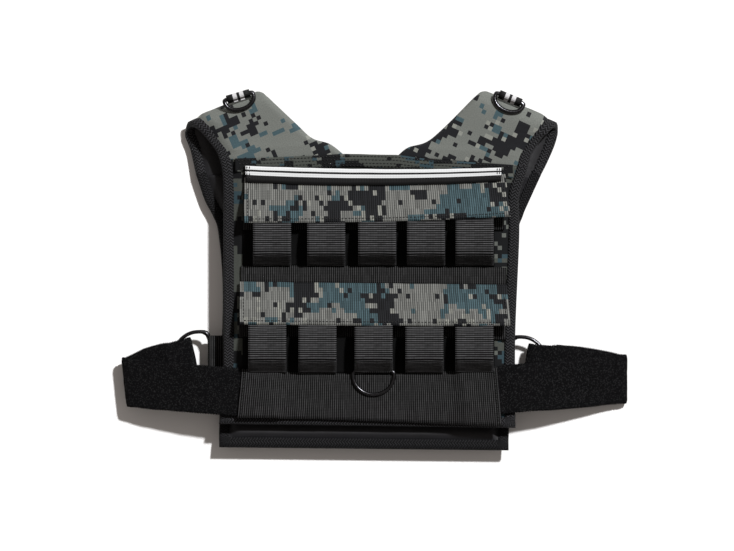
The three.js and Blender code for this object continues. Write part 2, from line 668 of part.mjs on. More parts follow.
// Belts. Each leaves from under the lower band, turns back at its outer end and wraps its ring.
// Out in reaches from the middle, down in front heights, height in shares of the root's height,
// lean in degrees from square across.
const BELT_ROOT = SEAT + BELT / 2;
const BELTS = [
  {
    ring: SIDE_TABS[0], reach: LEFT_REACH, wrapLean: 12, wrapDrop: 5, wrapClimb: 0.28,
    run: [
      { out: 0.4334, down: 0.869, height: 1, lean: -4.7 },
      { out: 0.563, down: 0.866, height: 1, lean: -4.7 },
      { out: 0.692, down: 0.857, height: 0.936, lean: -4.7 },
      { out: 0.833, down: 0.846, height: 0.77, lean: -4 },
      { out: 0.934, down: 0.838, height: 0.63, lean: -1 },
      { out: 0.98, down: 0.834, height: 0.565, lean: 4 },
      { out: 0.991, down: 0.832, height: 0.53, lean: 6 },
      { out: 0.994, down: 0.831, height: 0.46, lean: 6 },
      { out: 0.991, down: 0.83, height: 0.385, lean: 6 },
      { out: 0.98, down: 0.829, height: 0.35, lean: 9 },
      { out: 0.894, down: 0.794, height: 0.42, lean: 14 },
    ],
  },
  {
    ring: SIDE_TABS[1], reach: RIGHT_REACH, wrapLean: -10, wrapDrop: 3, wrapClimb: 0.125,
    run: [
      { out: 0.4246, down: 0.869, height: 1, lean: 5.1 },
      { out: 0.534, down: 0.857, height: 1, lean: 5.1 },
      { out: 0.62, down: 0.85, height: 0.908, lean: 5.1 },
      { out: 0.737, down: 0.843, height: 0.684, lean: 5.1 },
      { out: 0.854, down: 0.833, height: 0.433, lean: 4 },
      { out: 0.952, down: 0.8235, height: 0.265, lean: 2 },
      { out: 0.98, down: 0.822, height: 0.234, lean: 1 },
      { out: 0.991, down: 0.821, height: 0.21, lean: 0 },
      { out: 0.994, down: 0.82, height: 0.168, lean: 0 },
      { out: 0.991, down: 0.819, height: 0.126, lean: 0 },
      { out: 0.98, down: 0.818, height: 0.102, lean: -1 },
      { out: 0.952, down: 0.814, height: 0.095, lean: -3 },
      { out: 0.854, down: 0.795, height: 0.168, lean: -5 },
      { out: 0.776, down: 0.787, height: 0.307, lean: -6 },
    ],
  },
];
// The wrap round a side ring: in from the bow in ring depths, over the ring 1, under it -1.
const RING_WRAP = [
  { in: -0.157, over: 1, wide: 0.95 },
  { in: 0, over: 1.05, wide: 0.9 },
  { in: 0.324, over: 1, wide: 0.88 },
  { in: 0.48, over: 0.62, wide: 0.87 },
  { in: 0.527, over: 0, wide: 0.87 },
  { in: 0.48, over: -0.62, wide: 0.87 },
  { in: 0.324, over: -1, wide: 0.88 },
  { in: -0.055, over: -1.1, wide: 0.9 },
  { in: -0.46, over: -1.7, wide: 0.95 },
];

function belt({ ring, reach, wrapLean, wrapDrop, wrapClimb, run }) {
  const bowX = HALF * ring.across + SIDE_RING.depth - SIDE_RING.wire / 2;
  const layer = SIDE_RING.wire / 2 + BELT / 2 + 2 * CLEAR;
  const rows = [
    ...run.map(({ out, down, height, lean }) => ({
      at: point(ring.sign * reach * out, -FRONT_HEIGHT * down, BELT_ROOT * height), lean, wide: 1,
    })),
    ...RING_WRAP.map((row) => {
      const inward = SIDE_RING.depth * row.in;
      return {
        at: point(
          ring.sign * (bowX - inward),
          -FRONT_HEIGHT * ring.down - wrapDrop + wrapClimb * inward,
          SIDE_RING_HEIGHT + layer * row.over),
        lean: wrapLean,
        wide: row.wide,
      };
    }),
  ];
  const frames = rows.map(({ at, lean, wide }, i) => {
    const angle = THREE.MathUtils.degToRad(lean);
    const inward = point(-Math.sin(angle), Math.cos(angle), 0);
    const ahead = rows[Math.min(i + 1, rows.length - 1)].at.clone().sub(rows[Math.max(i - 1, 0)].at);
    const up = ahead.cross(inward).normalize();
    return { at, inward: inward.multiplyScalar(wide), up };
  });
  sweep(`belt_${ring.end}`, 'belt_pile', frames, slab(BELT_WIDTH, BELT));
}

paddedHalf('back_panel', 'lining', BACK);
edgeTape('back_binding', BACK);
paddedHalf('front_panel', 'camo_fabric', FRONT);
edgeTape('front_binding', FRONT);
BELTS.forEach(belt);
for (const [end, table, sign] of [['left', LEFT_STRAP, -1], ['right', RIGHT_STRAP, 1]]) {
  const rows = strapRows(table, sign);
  shoulderStrap(`shoulder_strap_${end}`, rows);
  strapTape(`strap_binding_${end}`, rows);
}
topHem();
STRIPS.forEach(sewnStrip);
for (const row of POCKET_ROWS) {
  row.across.forEach((across, i) => pocketSling(`${row.name}_${i + 1}`, row, across));
}
centreRing();
SHOULDER_TABS.forEach(shoulderRing);
SIDE_TABS.forEach(sideRing);

export default vest;
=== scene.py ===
# %% [markdown]
# # Weighted vest, seen from above
# A camouflage vest lies front up on a white floor with its belts spread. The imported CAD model
# gives every piece its place. This lesson dresses each piece in its real cloth, webbing or
# metal, one step at a time. Lengths are in millimetres until a mesh is made.

# %% Load the frame
import bpy
import math
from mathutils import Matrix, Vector, noise


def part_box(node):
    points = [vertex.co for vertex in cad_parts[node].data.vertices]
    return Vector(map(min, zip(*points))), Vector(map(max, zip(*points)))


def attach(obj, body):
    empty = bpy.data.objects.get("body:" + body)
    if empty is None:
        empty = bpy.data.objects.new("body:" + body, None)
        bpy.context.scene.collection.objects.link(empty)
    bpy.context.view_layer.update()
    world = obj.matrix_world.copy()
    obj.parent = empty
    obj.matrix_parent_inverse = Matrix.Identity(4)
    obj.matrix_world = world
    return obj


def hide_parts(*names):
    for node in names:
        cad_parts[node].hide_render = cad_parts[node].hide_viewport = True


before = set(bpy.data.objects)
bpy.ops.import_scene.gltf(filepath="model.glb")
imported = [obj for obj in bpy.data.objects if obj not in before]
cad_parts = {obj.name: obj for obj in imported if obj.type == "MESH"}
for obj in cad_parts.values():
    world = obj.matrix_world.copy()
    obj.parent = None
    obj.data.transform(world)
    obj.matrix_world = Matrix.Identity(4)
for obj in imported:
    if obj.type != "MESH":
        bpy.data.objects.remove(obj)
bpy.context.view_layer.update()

# %% [markdown]
# ## Camera
# The real photograph was taken from straight above with a long lens, so nearly nothing grows
# towards the camera. An orthographic camera gives that look. One photo pixel is one millimetre.

# %% Camera
MM = 0.001
PHOTO_WIDTH = 734
PHOTO_MIDDLE = (-7.25, -5.8)
CAMERA_HEIGHT = 1.6

camera_data = bpy.data.cameras.new("overhead_camera")
camera_data.type = "ORTHO"
camera_data.ortho_scale = PHOTO_WIDTH * MM
camera = bpy.data.objects.new("overhead_camera", camera_data)
camera.location = (PHOTO_MIDDLE[0] * MM, PHOTO_MIDDLE[1] * MM, CAMERA_HEIGHT)
bpy.context.scene.collection.objects.link(camera)
bpy.context.scene.camera = camera
print("the camera sees", PHOTO_WIDTH, "mm across, above", PHOTO_MIDDLE)

# %% [markdown]
# ## Colours and nodes
# Colours are written as the hex values a screen shows. The renderer wants linear light, so one
# function turns them. Another adds a shader node with its settings and links in one line, which
# keeps each finish short enough to read.

# %% Colours and nodes
def linear(hex_colour):
    """An sRGB hex colour as linear red, green, blue and alpha."""
    channels = [int(hex_colour[i:i + 2], 16) / 255 for i in (1, 3, 5)]
    return [c / 12.92 if c <= 0.04045 else ((c + 0.055) / 1.055) ** 2.4 for c in channels] + [1.0]


def add(tree, kind, inputs=(), output=0, **settings):
    """Adds a node, sets its properties, fills or links its inputs and gives back one output."""
    node = tree.nodes.new("ShaderNode" + kind)
    for key, value in settings.items():
        setattr(node, key, value)
    for key, value in inputs.items() if isinstance(inputs, dict) else enumerate(inputs):
        if isinstance(value, bpy.types.NodeSocket):
            tree.links.new(value, node.inputs[key])
        else:
            node.inputs[key].default_value = value
    return node.outputs[output]


def blank_material(name):
    """A new material with its Principled shader, ready for nodes."""
    material = bpy.data.materials.new(name)
    material.use_nodes = True
    return material, material.node_tree, material.node_tree.nodes["Principled BSDF"]


print("mid grey in linear light", round(linear("#808080")[0], 3))

# %% [markdown]
# ## Floor and light
# A white floor, a soft white surround and one key light from the upper right give the short
# shadow at the lower left. A sun lamp keeps that shadow the same length everywhere.

# %% Floor, surround and key light
FLOOR_SIDE = 6.0
FLOOR_DROP = -0.0002
KEY_STRENGTH = 4.3
KEY_SPREAD = 4
KEY_FROM = (0.5, 0.64, 1.0)
SURROUND_STRENGTH = 0.24

floor_mesh = bpy.data.meshes.new("floor")
side = FLOOR_SIDE / 2
floor_corners = [(-side, -side, FLOOR_DROP), (side, -side, FLOOR_DROP),
                 (side, side, FLOOR_DROP), (-side, side, FLOOR_DROP)]
floor_mesh.from_pydata(floor_corners, [], [(0, 1, 2, 3)])
floor = bpy.data.objects.new("floor", floor_mesh)
bpy.context.scene.collection.objects.link(floor)
floor_paint, _, floor_shader = blank_material("matt_white_paper")
floor_shader.inputs["Base Color"].default_value = linear("#f4f4f4")
floor_shader.inputs["Roughness"].default_value = 1.0
floor_mesh.materials.append(floor_paint)

world = bpy.data.worlds.new("studio")
world.use_nodes = True
world.node_tree.nodes["Background"].inputs["Color"].default_value = linear("#fff4ec")
world.node_tree.nodes["Background"].inputs["Strength"].default_value = SURROUND_STRENGTH
bpy.context.scene.world = world

key_data = bpy.data.lights.new("key", "SUN")
key_data.energy = KEY_STRENGTH
key_data.angle = math.radians(KEY_SPREAD)
key = bpy.data.objects.new("key", key_data)
key.rotation_euler = Vector(KEY_FROM).to_track_quat("Z", "Y").to_euler()
bpy.context.scene.collection.objects.link(key)
bpy.context.scene.view_settings.view_transform = "Standard"
print("floor", FLOOR_SIDE, "m wide, key light", KEY_STRENGTH, "from", KEY_FROM)

# %% [markdown]
# ## Sizes
# These lengths repeat the part's own. MIDDLE and NECKLINE place the front on the floor, and
# HALF and YOKE_HALF are half widths from that middle. SEAT is the height of the front's face,
# where the first layer of webbing lies. Everything below is worked out from them, so a cloth
# piece keeps its place over the solid that it stands for.

# %% Sizes
MIDDLE = -2.95
NECKLINE = 113.7
HALF = 148
FRONT_HEIGHT = 272
YOKE_HALF = 188.9
RISE = 64
CLEAR = 0.3
SEAT = 34.3
CLOTH = 1.5
WEBBING = 2
WEBBING_SEAT = SEAT + WEBBING + CLEAR
SEAM = 4
RIB = 2.1
print("front", 2 * HALF, "by", FRONT_HEIGHT, "mm, webbing ribs", RIB, "mm apart")

# %% [markdown]
# ## Mesh makers
# Most pieces are flat goods: a top face, a bottom face and a rim. Modelling them by hand would
# mean placing thousands of points. Here a small formula says where each point of a grid lies,
# and one function closes a top and a bottom grid into a piece. It also lays a flat map on the
# piece, in metres, as the cloth lay before it was sewn. The patterns read that map.

# %% Names, finishes and maps
def register(obj, material, slot, nodes, body):
    """Links an object, gives it its finish, smooths it, hangs it on its body and hides the imported
    parts that it stands for.
    """
    if obj.name not in bpy.context.scene.collection.objects:
        bpy.context.scene.collection.objects.link(obj)
    obj.data.materials.clear()
    obj.data.materials.append(material)
    obj.data.shade_smooth()
    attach(obj, body)
    if nodes:
        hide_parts(*nodes)
    return obj


def lay_map(mesh, flat):
    """Gives every corner the flat map place of its vertex, in metres."""
    layer = mesh.uv_layers.new(name="flat")
    values = [0.0] * (2 * len(mesh.loops))
    for i, loop in enumerate(mesh.loops):
        u, v = flat[loop.vertex_index]
        values[2 * i] = u * MM
        values[2 * i + 1] = v * MM
    layer.data.foreach_set("uv", values)


# %% Grids
def grids(rows, columns, place):
    """Top, bottom and flat map grids from a function of row and column numbers."""
    table = [[place(r, c) for c in range(columns + 1)] for r in range(rows + 1)]
    return [[[entry[k] for entry in row] for row in table] for k in range(3)]


print("a grid of one square has", sum(len(row) for row in grids(1, 1, lambda r, c: (r, c, 0))[0]),
      "points")

# %% Closing two grids
def shell(name, cloth_grids, material, slot, nodes=(), closed=False, inside=None):
    """Closes a top and a bottom grid into one solid piece. Closed grids join end to end.
    A finish given as inside goes on the bottom grid."""
    top, bottom, flat = cloth_grids
    rows = len(top)
    columns = len(top[0])
    under = rows * columns
    verts = [p * MM for row in top for p in row] + [p * MM for row in bottom for p in row]
    spans = rows if closed else rows - 1
    faces = []
    for r in range(spans):
        here = r * columns
        after = ((r + 1) % rows) * columns
        for c in range(columns - 1):
            quad = (here + c, here + c + 1, after + c + 1, after + c)
            faces.append(quad)
            faces.append(tuple(i + under for i in reversed(quad)))
        faces.append((here, after, after + under, here + under))
        last = columns - 1
        faces.append((after + last, here + last, here + last + under, after + last + under))
    if not closed:
        for c in range(columns - 1):
            faces.append((c + 1, c, c + under, c + 1 + under))
            end = (rows - 1) * columns
            faces.append((end + c, end + c + 1, end + c + 1 + under, end + c + under))
    mesh = bpy.data.meshes.new(name)
    mesh.from_pydata(verts, [], faces)
    places = [p for row in flat for p in row]
    lay_map(mesh, places + places)
    obj = bpy.data.objects.new(name, mesh)
    register(obj, material, slot, nodes, "vest")
    if inside:
        mesh.materials.append(inside)
        for face in mesh.polygons:
            if min(face.vertices) >= under:
                face.material_index = 1
    mesh.update()
    return obj


print("layers of webbing lie", CLEAR, "mm apart")

# %% Small formulas
def signed(p, size, seed):
    """Smooth noise from -1 to 1 that changes over a size in millimetres."""
    return noise.noise(Vector((p[0] / size, p[1] / size, p[2] / size + seed)))


def sway(p, wave, seed):
    """A slow wave of some amount and size, both in millimetres, at a place."""
    amount, size = wave
    return amount * signed(p, size, seed)


def mix(a, b, share):
    """The value between a and b at a share of the way."""
    return a + (b - a) * share


def bow(ends, share):
    """A curve through the values at the left, the middle and the right."""
    left, middle, right = ends
    sag = middle - (left + right) / 2
    return mix(left, right, share) + 4 * sag * share * (1 - share)


print("halfway between 2 and 6 is", mix(2, 6, 0.5))


# %% [markdown]
# ## Printed camouflage cloth
# The shell is plain woven polyester with a printed block pattern. Print has no thickness, so it
# is colour only. A picture of a camouflage cloth would repeat and would fix its colours, so the
# pattern is worked out instead. A map snapped to square cells feeds smooth noise, and every cell
# above a level takes the ink of a patch. That gives patches with square corners.

# %% Patterns on the flat map
FLAT_TO_MM = 1000.0


def flat_mm(tree):
    """The flat map in millimetres."""
    source = add(tree, "UVMap", uv_map="flat")
    return add(tree, "VectorMath", {0: source, "Scale": FLAT_TO_MM}, operation="SCALE")


def flat_axis(tree, axis):
    """One axis of the flat map in millimetres."""
    return add(tree, "SeparateXYZ", (flat_mm(tree),), axis)


def wave_along(tree, value, spacing):
    """A wave from -1 to 1 that repeats every spacing of a value."""
    turn = add(tree, "Math", (value, math.tau / spacing), operation="MULTIPLY")
    return add(tree, "Math", (turn,), operation="SINE")


def coat(tree, shader, colour, roughness, shine=0.5):
    """Gives the shader a colour, a roughness and an amount of shine."""
    tree.links.new(colour, shader.inputs["Base Color"])
    shader.inputs["Roughness"].default_value = roughness
    shader.inputs["Specular IOR Level"].default_value = shine


def bumped(tree, shader, height, strength, distance):
    """Puts a height in millimetres on a shader as bump."""
    bump = add(tree, "Bump", {"Height": height, "Strength": strength, "Distance": distance * MM})
    tree.links.new(bump, shader.inputs["Normal"])


print("patterns read the flat map, times", FLAT_TO_MM)

# %% Camouflage
CLOTH_CELL = (4.2, 4.2, 1)
PATCH_LEVEL = 0.56
DARK_LEVEL = 0.595
SMALL_PATCH_STEP = 0.1
NEAR_DARK = 0.49
DARK_SHARE = 0.14
PALE_SHARE = 0.09
LONE_SHARE = 0.025


def blocks(tree, snapped, offset, stretch, size):
    """Smooth noise over snapped places, so it is the same all over each cell."""
    moved = add(tree, "VectorMath", (snapped, offset), operation="ADD")
    longer = add(tree, "VectorMath", (moved, stretch), operation="MULTIPLY")
    return add(tree, "TexNoise", {"Vector": longer, "Scale": 1 / size, "Detail": 2.0,
                                  "Roughness": 0.62}, noise_dimensions="2D")


def print_ink(tree, value, level, under, ink):
    """Prints an ink over a colour wherever a value lies above a level."""
    share = add(tree, "Math", (value, level), operation="GREATER_THAN")
    return add(tree, "Mix", {0: share, 6: under, 7: ink}, 2, data_type="RGBA")


def camouflage(tree, cell, inks, patch_level=PATCH_LEVEL, dark_level=DARK_LEVEL):
    """The printed pattern: ground, wide patches, dark blocks, then clusters of single cells."""
    ground, patch, dark, pale = (linear(ink) for ink in inks)
    snapped = add(tree, "VectorMath", (flat_mm(tree), cell), operation="SNAP")
    wide = blocks(tree, snapped, offset=(300, 200, 0), stretch=(0.8, 1, 1), size=46)
    colour = print_ink(tree, wide, patch_level, ground, patch)
    small = blocks(tree, snapped, offset=(930, 510, 0), stretch=(1, 1, 1), size=15)
    colour = print_ink(tree, small, patch_level + SMALL_PATCH_STEP, colour, patch)
    deep = blocks(tree, snapped, offset=(1240, 77, 0), stretch=(0.8, 1, 1), size=35)
    colour = print_ink(tree, deep, dark_level, colour, dark)
    spot = add(tree, "TexWhiteNoise", {"Vector": snapped}, noise_dimensions="2D")
    near = add(tree, "Math", (deep, NEAR_DARK), operation="GREATER_THAN")
    high_spot = add(tree, "Math", (near, spot), operation="MULTIPLY")
    colour = print_ink(tree, high_spot, 1 - DARK_SHARE, colour, dark)
    flipped = add(tree, "Math", (1.0, spot), operation="SUBTRACT")
    low_spot = add(tree, "Math", (near, flipped), operation="MULTIPLY")
    colour = print_ink(tree, low_spot, 1 - PALE_SHARE, colour, pale)
    return print_ink(tree, spot, 1 - LONE_SHARE, colour, dark)


print("printed cells are", CLOTH_CELL[0], "mm wide")

# %% [markdown]
# ## Printed cloth
# Woven polyester is matt, because its threads scatter the light. Real threads lie 0.5 mm apart, too
# fine for a pixel of 1 mm, so they are drawn at 1.3 mm as bump and a little shade. A grain of light
# and dark stands for the wear of the print. The hem and the front's own shell get darker inks than
# the straps: painted shade, for the shade that falls on them beside the raised straps and flaps.

# %% Printed cloth
CLOTH_INKS = ("#686b67", "#3c4f55", "#17181b", "#7e807a")
# Darker inks for cloth that lies in shade: painted shade.
SHADED_CLOTH_INKS = ("#424541", "#2e3f46", "#0d0e10", "#575a56")
THREAD = 1.3


def woven_height(tree, spacing):
    """Height of a plain weave: threads over and under in turn."""
    waves = [wave_along(tree, flat_axis(tree, axis), spacing) for axis in (0, 1)]
    return add(tree, "Math", waves, operation="MULTIPLY")


def printed_cloth(name, inks, patch_level, dark_level):
    """Printed polyester cloth: matt, plain weave, with hardly any shine."""
    material, tree, shader = blank_material(name)
    colour = camouflage(tree, CLOTH_CELL, inks, patch_level, dark_level)
    weave = woven_height(tree, THREAD)
    grain = add(tree, "TexNoise", {"Vector": flat_mm(tree), "Scale": 0.9, "Detail": 3.0,
                                   "Roughness": 0.8}, noise_dimensions="2D")
    uneven = add(tree, "Math", (grain, 0.9, 0.55), operation="MULTIPLY_ADD")
    threads = add(tree, "Math", (weave, 0.15, 1.0), operation="MULTIPLY_ADD")
    shade = add(tree, "Math", (uneven, threads), operation="MULTIPLY")
    toned = add(tree, "VectorMath", {0: colour, "Scale": shade}, operation="SCALE")
    coat(tree, shader, toned, roughness=0.85, shine=0.2)
    bumped(tree, shader, weave, strength=0.5, distance=0.25)
    return material


camo_cloth = printed_cloth("printed_woven_polyester", CLOTH_INKS, patch_level=0.583,
                           dark_level=0.59)
# This darker cloth is painted shade.
shaded_camo_cloth = printed_cloth("printed_woven_polyester_painted_shade", SHADED_CLOTH_INKS, patch_level=0.55,
                          dark_level=0.5)
print("cloth threads drawn", THREAD, "mm apart")

# %% [markdown]
# ## Lining
# Inside and behind, the vest is lined with black taffeta, a smooth polyester with a soft shine. Its
# fine plain weave is bump, and slow noise between two near blacks keeps it from looking like plastic.
# The cloth between the pockets is a near-black copy with less gloss: black cloth darkened further as
# painted shade, for the shadow that the pockets cast between them.

# %% Lining
TAFFETA_THREAD = 1.2


def cloudy(tree, place, dark, light, size, detail):
    """Soft patches between two inks, about a size in millimetres wide."""
    cloud = add(tree, "TexNoise", {"Vector": place, "Scale": 1 / size, "Detail": detail},
                noise_dimensions="2D")
    return add(tree, "Mix", {0: cloud, 6: linear(dark), 7: linear(light)}, 2, data_type="RGBA")


def taffeta(name, dark, light, gloss):
    """Black polyester lining: smooth, a little shiny, with fine threads."""
    material, tree, shader = blank_material(name)
    colour = cloudy(tree, flat_mm(tree), dark, light, size=20, detail=3.0)
    coat(tree, shader, colour, roughness=0.55, shine=gloss)
    bumped(tree, shader, woven_height(tree, TAFFETA_THREAD), strength=0.4, distance=0.2)
    return material


lining = taffeta("black_polyester_taffeta", "#0f0f11", "#1c1c20", gloss=0.3)
# Near black: black cloth darkened further as painted shade between the pockets.
pocket_shade_cloth = taffeta("near_black_cloth_painted_shade", "#040405", "#090909", gloss=0.05)
print("lining threads drawn", TAFFETA_THREAD, "mm apart")

# %% [markdown]
# ## Webbing
# Webbing is woven so tightly across that its face is a row of ribs, 2.1 mm apart. The ribs are
# real in the mesh. The material darkens the grooves, where the light doesn't reach, and adds
# the fine threads that cross each rib.

# %% Ribs as tones
WEBBING_INKS = ("#737471", "#43575d", "#1c1d20", "#84857f")
WEBBING_CELL = (4.2, 5.0, 1)
CROSS_THREAD = 1.6
SHADE_LENGTH = 9.0
SHADE_STEP = 0.37


def plain_dye(tree, ink):
    """One ink that is a little cloudy."""
    cloud = add(tree, "TexNoise", {"Vector": flat_mm(tree), "Scale": 0.25, "Detail": 3.0},
                noise_dimensions="2D")
    tone = add(tree, "Math", (cloud, 0.7, 0.65), operation="MULTIPLY_ADD")
    dye = add(tree, "RGB")
    dye.default_value = linear(ink)
    return add(tree, "VectorMath", {0: dye, "Scale": tone}, operation="SCALE")


def rib_tone(tree, along, across):
    """A tone for each rib, new again every SHADE_LENGTH along it."""
    ribs = add(tree, "Math", (along, RIB), operation="DIVIDE")
    number = add(tree, "Math", (ribs,), operation="FLOOR")
    lengths = add(tree, "Math", (across, SHADE_LENGTH), operation="DIVIDE")
    length_number = add(tree, "Math", (lengths,), operation="FLOOR")
    stagger = add(tree, "Math", (length_number, SHADE_STEP), operation="MULTIPLY")
    key = add(tree, "Math", (number, stagger), operation="ADD")
    own = add(tree, "TexWhiteNoise", {"W": key}, noise_dimensions="1D")
    return add(tree, "Math", (own, 0.5, 0.78), operation="MULTIPLY_ADD")


def rib_groove(tree, along, fade, crown):
    """Light on the crests of the ribs, falling to fade in the grooves."""
    turn = add(tree, "Math", (along, math.pi / RIB), operation="MULTIPLY")
    wave = add(tree, "Math", (turn,), operation="SINE")
    crest = add(tree, "Math", (wave,), operation="ABSOLUTE")
    lit = add(tree, "Math", (crest, crown), operation="POWER")
    return add(tree, "Math", (lit, 1 - fade, fade), operation="MULTIPLY_ADD")


print("each rib keeps its tone for", SHADE_LENGTH, "mm")

# %% Webbing finishes
def webbing_finish(name, inks, rib_axis, fade, crown=1.6):
    """Ribbed webbing. Its ribs repeat along axis 0 or 1 of the flat map."""
    material, tree, shader = blank_material(name)
    along, across = flat_axis(tree, rib_axis), flat_axis(tree, 1 - rib_axis)
    colour = camouflage(tree, WEBBING_CELL, inks) if len(inks) > 1 else plain_dye(tree, inks[0])
    threads = wave_along(tree, across, CROSS_THREAD)
    tone = add(tree, "Math", (threads, 0.1, rib_tone(tree, along, across)), operation="MULTIPLY_ADD")
    groove = rib_groove(tree, along, fade, crown)
    shade = add(tree, "Math", (groove, tone), operation="MULTIPLY")
    toned = add(tree, "VectorMath", {0: colour, "Scale": shade}, operation="SCALE")
    coat(tree, shader, toned, roughness=0.7, shine=0.12)
    bumped(tree, shader, threads, strength=0.35, distance=0.15)
    return material


camo_webbing = webbing_finish("printed_nylon_webbing", WEBBING_INKS, rib_axis=0, fade=0.18)
black_webbing = webbing_finish("black_nylon_webbing", ("#39393a",), rib_axis=0, fade=0.0,
                               crown=6.0)
sling_webbing = webbing_finish("black_nylon_webbing_cross", ("#4e4e50",), rib_axis=1, fade=0.0,
                               crown=6.5)
print("cross threads drawn", CROSS_THREAD, "mm apart, printed cells", WEBBING_CELL[1], "mm long")

# %% [markdown]
# ## Ribbed strips
# Flaps, backing and bands are strips of webbing sewn flat. A plane with a ribbed picture would
# look right from above only, so every rib is modelled, with six points across each. A strip is
# given by the shares of the front's size at which its edges lie. The flaps also climb, from
# their sewn top over the mouths of the pockets.

# %% Ribbed strips
RIB_DEPTH = 0.42
SAMPLES_PER_RIB = 6
ROW_STEP = 3.2
PLAIN_STEP = 2


def rib_height(place):
    """Height of the ribs at a place along the webbing."""
    return RIB_DEPTH * abs(math.sin(math.pi * place / RIB)) ** 0.7


def name_seed(name):
    """A small whole number that belongs to a name."""
    return sum(ord(letter) for letter in name) % 97


def map_shift(name, material):
    """Moves each printed strip to its own part of the pattern."""
    if material != camo_webbing:
        return 0, 0
    seed = name_seed(name)
    return 30 * RIB * seed, 52 * (seed % 13)


print("ribs", RIB_DEPTH, "mm deep,", SAMPLES_PER_RIB, "points across each")

# %% One strip
RIB_SINK = 0.3
END_ROUND = 0.35
END_ROUND_ROWS = 1.5
LEAST_ROWS = 4
SIDE_WAVE = (0.35, 18)
END_WAVE = (0.45, 22)
FACE_WAVE = (0.35, 26)
FACE_RAISE = 0.07
sewn = {}


def strip(name, material, slot, left, right, upper, lower, seat, lift=None, thick=WEBBING, ribs=True):
    """A sewn strip, ribs running down it. Left and right hold its sides at the top and the bottom,
    upper and lower its ends at the left, the middle and the right, all as shares of the front."""
    width = HALF * (max(right) - min(left))
    columns = int(width / RIB * SAMPLES_PER_RIB) if ribs else int(width / PLAIN_STEP)
    height = FRONT_HEIGHT * (lower[1] - upper[1])
    rows = max(LEAST_ROWS, int(height / ROW_STEP))
    seed = name_seed(name)
    shift = map_shift(name, material)

    def face(down, across):
        x = MIDDLE + HALF * mix(mix(left[0], left[1], down), mix(right[0], right[1], down), across)
        y = NECKLINE - FRONT_HEIGHT * mix(bow(upper, across), bow(lower, across), down)
        x += sway((x, y, 0), SIDE_WAVE, seed)
        y += sway((x, y, 0), END_WAVE, seed + 5) * abs(2 * down - 1)
        z = seat + (lift(down, across) if lift else 0) + sway((x, y, 0), FACE_WAVE, seed) + FACE_RAISE
        return x, y, z

    def place(r, c):
        x, y, z = face(r / rows, c / columns)
        along = c / columns * width
        round_off = END_ROUND * max(0, 1 - min(r, rows - r) / END_ROUND_ROWS)
        rib = rib_height(along) - RIB_SINK if ribs else 0
        top = Vector((x, y, z + thick - round_off + rib))
        return top, Vector((x, y, z)), (along + shift[0], r / rows * height + shift[1])

    obj = shell(name + "_cloth", grids(rows, columns, place), material, slot, (name,))
    sewn[name] = {"face": face, "width": width, "height": height, "thick": thick}
    print(name, round(width), "by", round(height), "mm")


# %% Strips on the front
FLAP_LIFT = 15.2
FLAP_WAVE = 0.5
FLAP_WAVES = 5
BAND_LIFT = 3.3
BAND_WIDTH = 259
BAND_FLAT_END = 48
BAND_CLIMB = 13.5
UPPER_FLAP_SEAT = SEAT + CLOTH + CLEAR


def flap_lift(flat_share):
    """A flap is flat at its sewn top, then climbs over the pockets."""
    def lift(down, across):
        share = max(0, (down - flat_share) / (1 - flat_share))
        wave = FLAP_WAVE * math.sin(across * math.tau * FLAP_WAVES + 1.2) * share
        return FLAP_LIFT * share ** 0.85 + wave
    return lift


def band_lift(down, across):
    """The lower band climbs over the ends of the belts."""
    from_end = min(across, 1 - across) * BAND_WIDTH
    share = min(max((BAND_FLAT_END - from_end) / BAND_CLIMB, 0), 1)
    return BAND_LIFT * (3 * share ** 2 - 2 * share ** 3)


strip("upper_flap", camo_webbing, "camo_webbing", (-0.859, -0.859), (0.906, 0.94),
      (0.062, 0.075, 0.066), (0.2445, 0.2407, 0.222), UPPER_FLAP_SEAT, flap_lift(0.27))
strip("pocket_backing_upper", black_webbing, "black_webbing", (-0.867, -0.867), (0.897, 0.897),
      (0.135, 0.135, 0.135), (0.272, 0.272, 0.272), SEAT)
strip("middle_strip", black_webbing, "black_webbing", (-0.88, -0.88), (0.912, 0.912),
      (0.403, 0.405, 0.41), (0.4688, 0.475, 0.48), SEAT)
strip("lower_flap", camo_webbing, "camo_webbing", (-0.889, -0.889), (0.918, 0.943),
      (0.462, 0.468, 0.473), (0.618, 0.6235, 0.6245), WEBBING_SEAT, flap_lift(0.12))
strip("pocket_backing_lower", black_webbing, "black_webbing", (-0.894, -0.894), (0.91, 0.91),
      (0.5, 0.5, 0.5), (0.665, 0.666, 0.676), SEAT)
strip("lower_band", black_webbing, "black_webbing", (-0.874, -0.904), (0.851, 0.883),
      (0.783, 0.8, 0.779), (0.961, 0.974, 0.995), SEAT, band_lift)
print(len(sewn), "strips sewn on the front")

# %% [markdown]
# ## Cloth behind the pockets
# Between the pockets lies plain black cloth, sewn flat on the front and made near black as painted
# shade for the shadow that the pockets cast there. It is a thin sheet of its own, a little uneven, so
# that it catches the light less evenly than a plane.

# %% Pocket cloth
POCKET_CLOTH_LEFT = -0.87
POCKET_CLOTH_RIGHT = 0.832
POCKET_CLOTH_MID = 34.75
POCKET_CLOTH_HALF = Vector((0, 0, 0.4))
POCKET_CLOTH_WAVE = (0.25, 14)


def pocket_cloth(name, upper, lower):
    """A thin near-black sheet between the backing webbing and the next strip; its darkness is partly
    painted shade.
    """
    rows, columns = 12, 80

    def place(r, c):
        x = mix(POCKET_CLOTH_LEFT, POCKET_CLOTH_RIGHT, c / columns) * HALF
        y = -FRONT_HEIGHT * mix(upper, lower, r / rows)
        z = POCKET_CLOTH_MID + sway((x, y, 0), POCKET_CLOTH_WAVE, 4)
        at = Vector((MIDDLE + x, NECKLINE + y, z))
        return at + POCKET_CLOTH_HALF, at - POCKET_CLOTH_HALF, (x, y)

    # The sheet takes the near-black finish, which is painted shade.
    obj = shell(name, grids(rows, columns, place), pocket_shade_cloth, "lining")


pocket_cloth("pocket_cloth_upper", 0.262, 0.409)
pocket_cloth("pocket_cloth_lower", 0.655, 0.803)
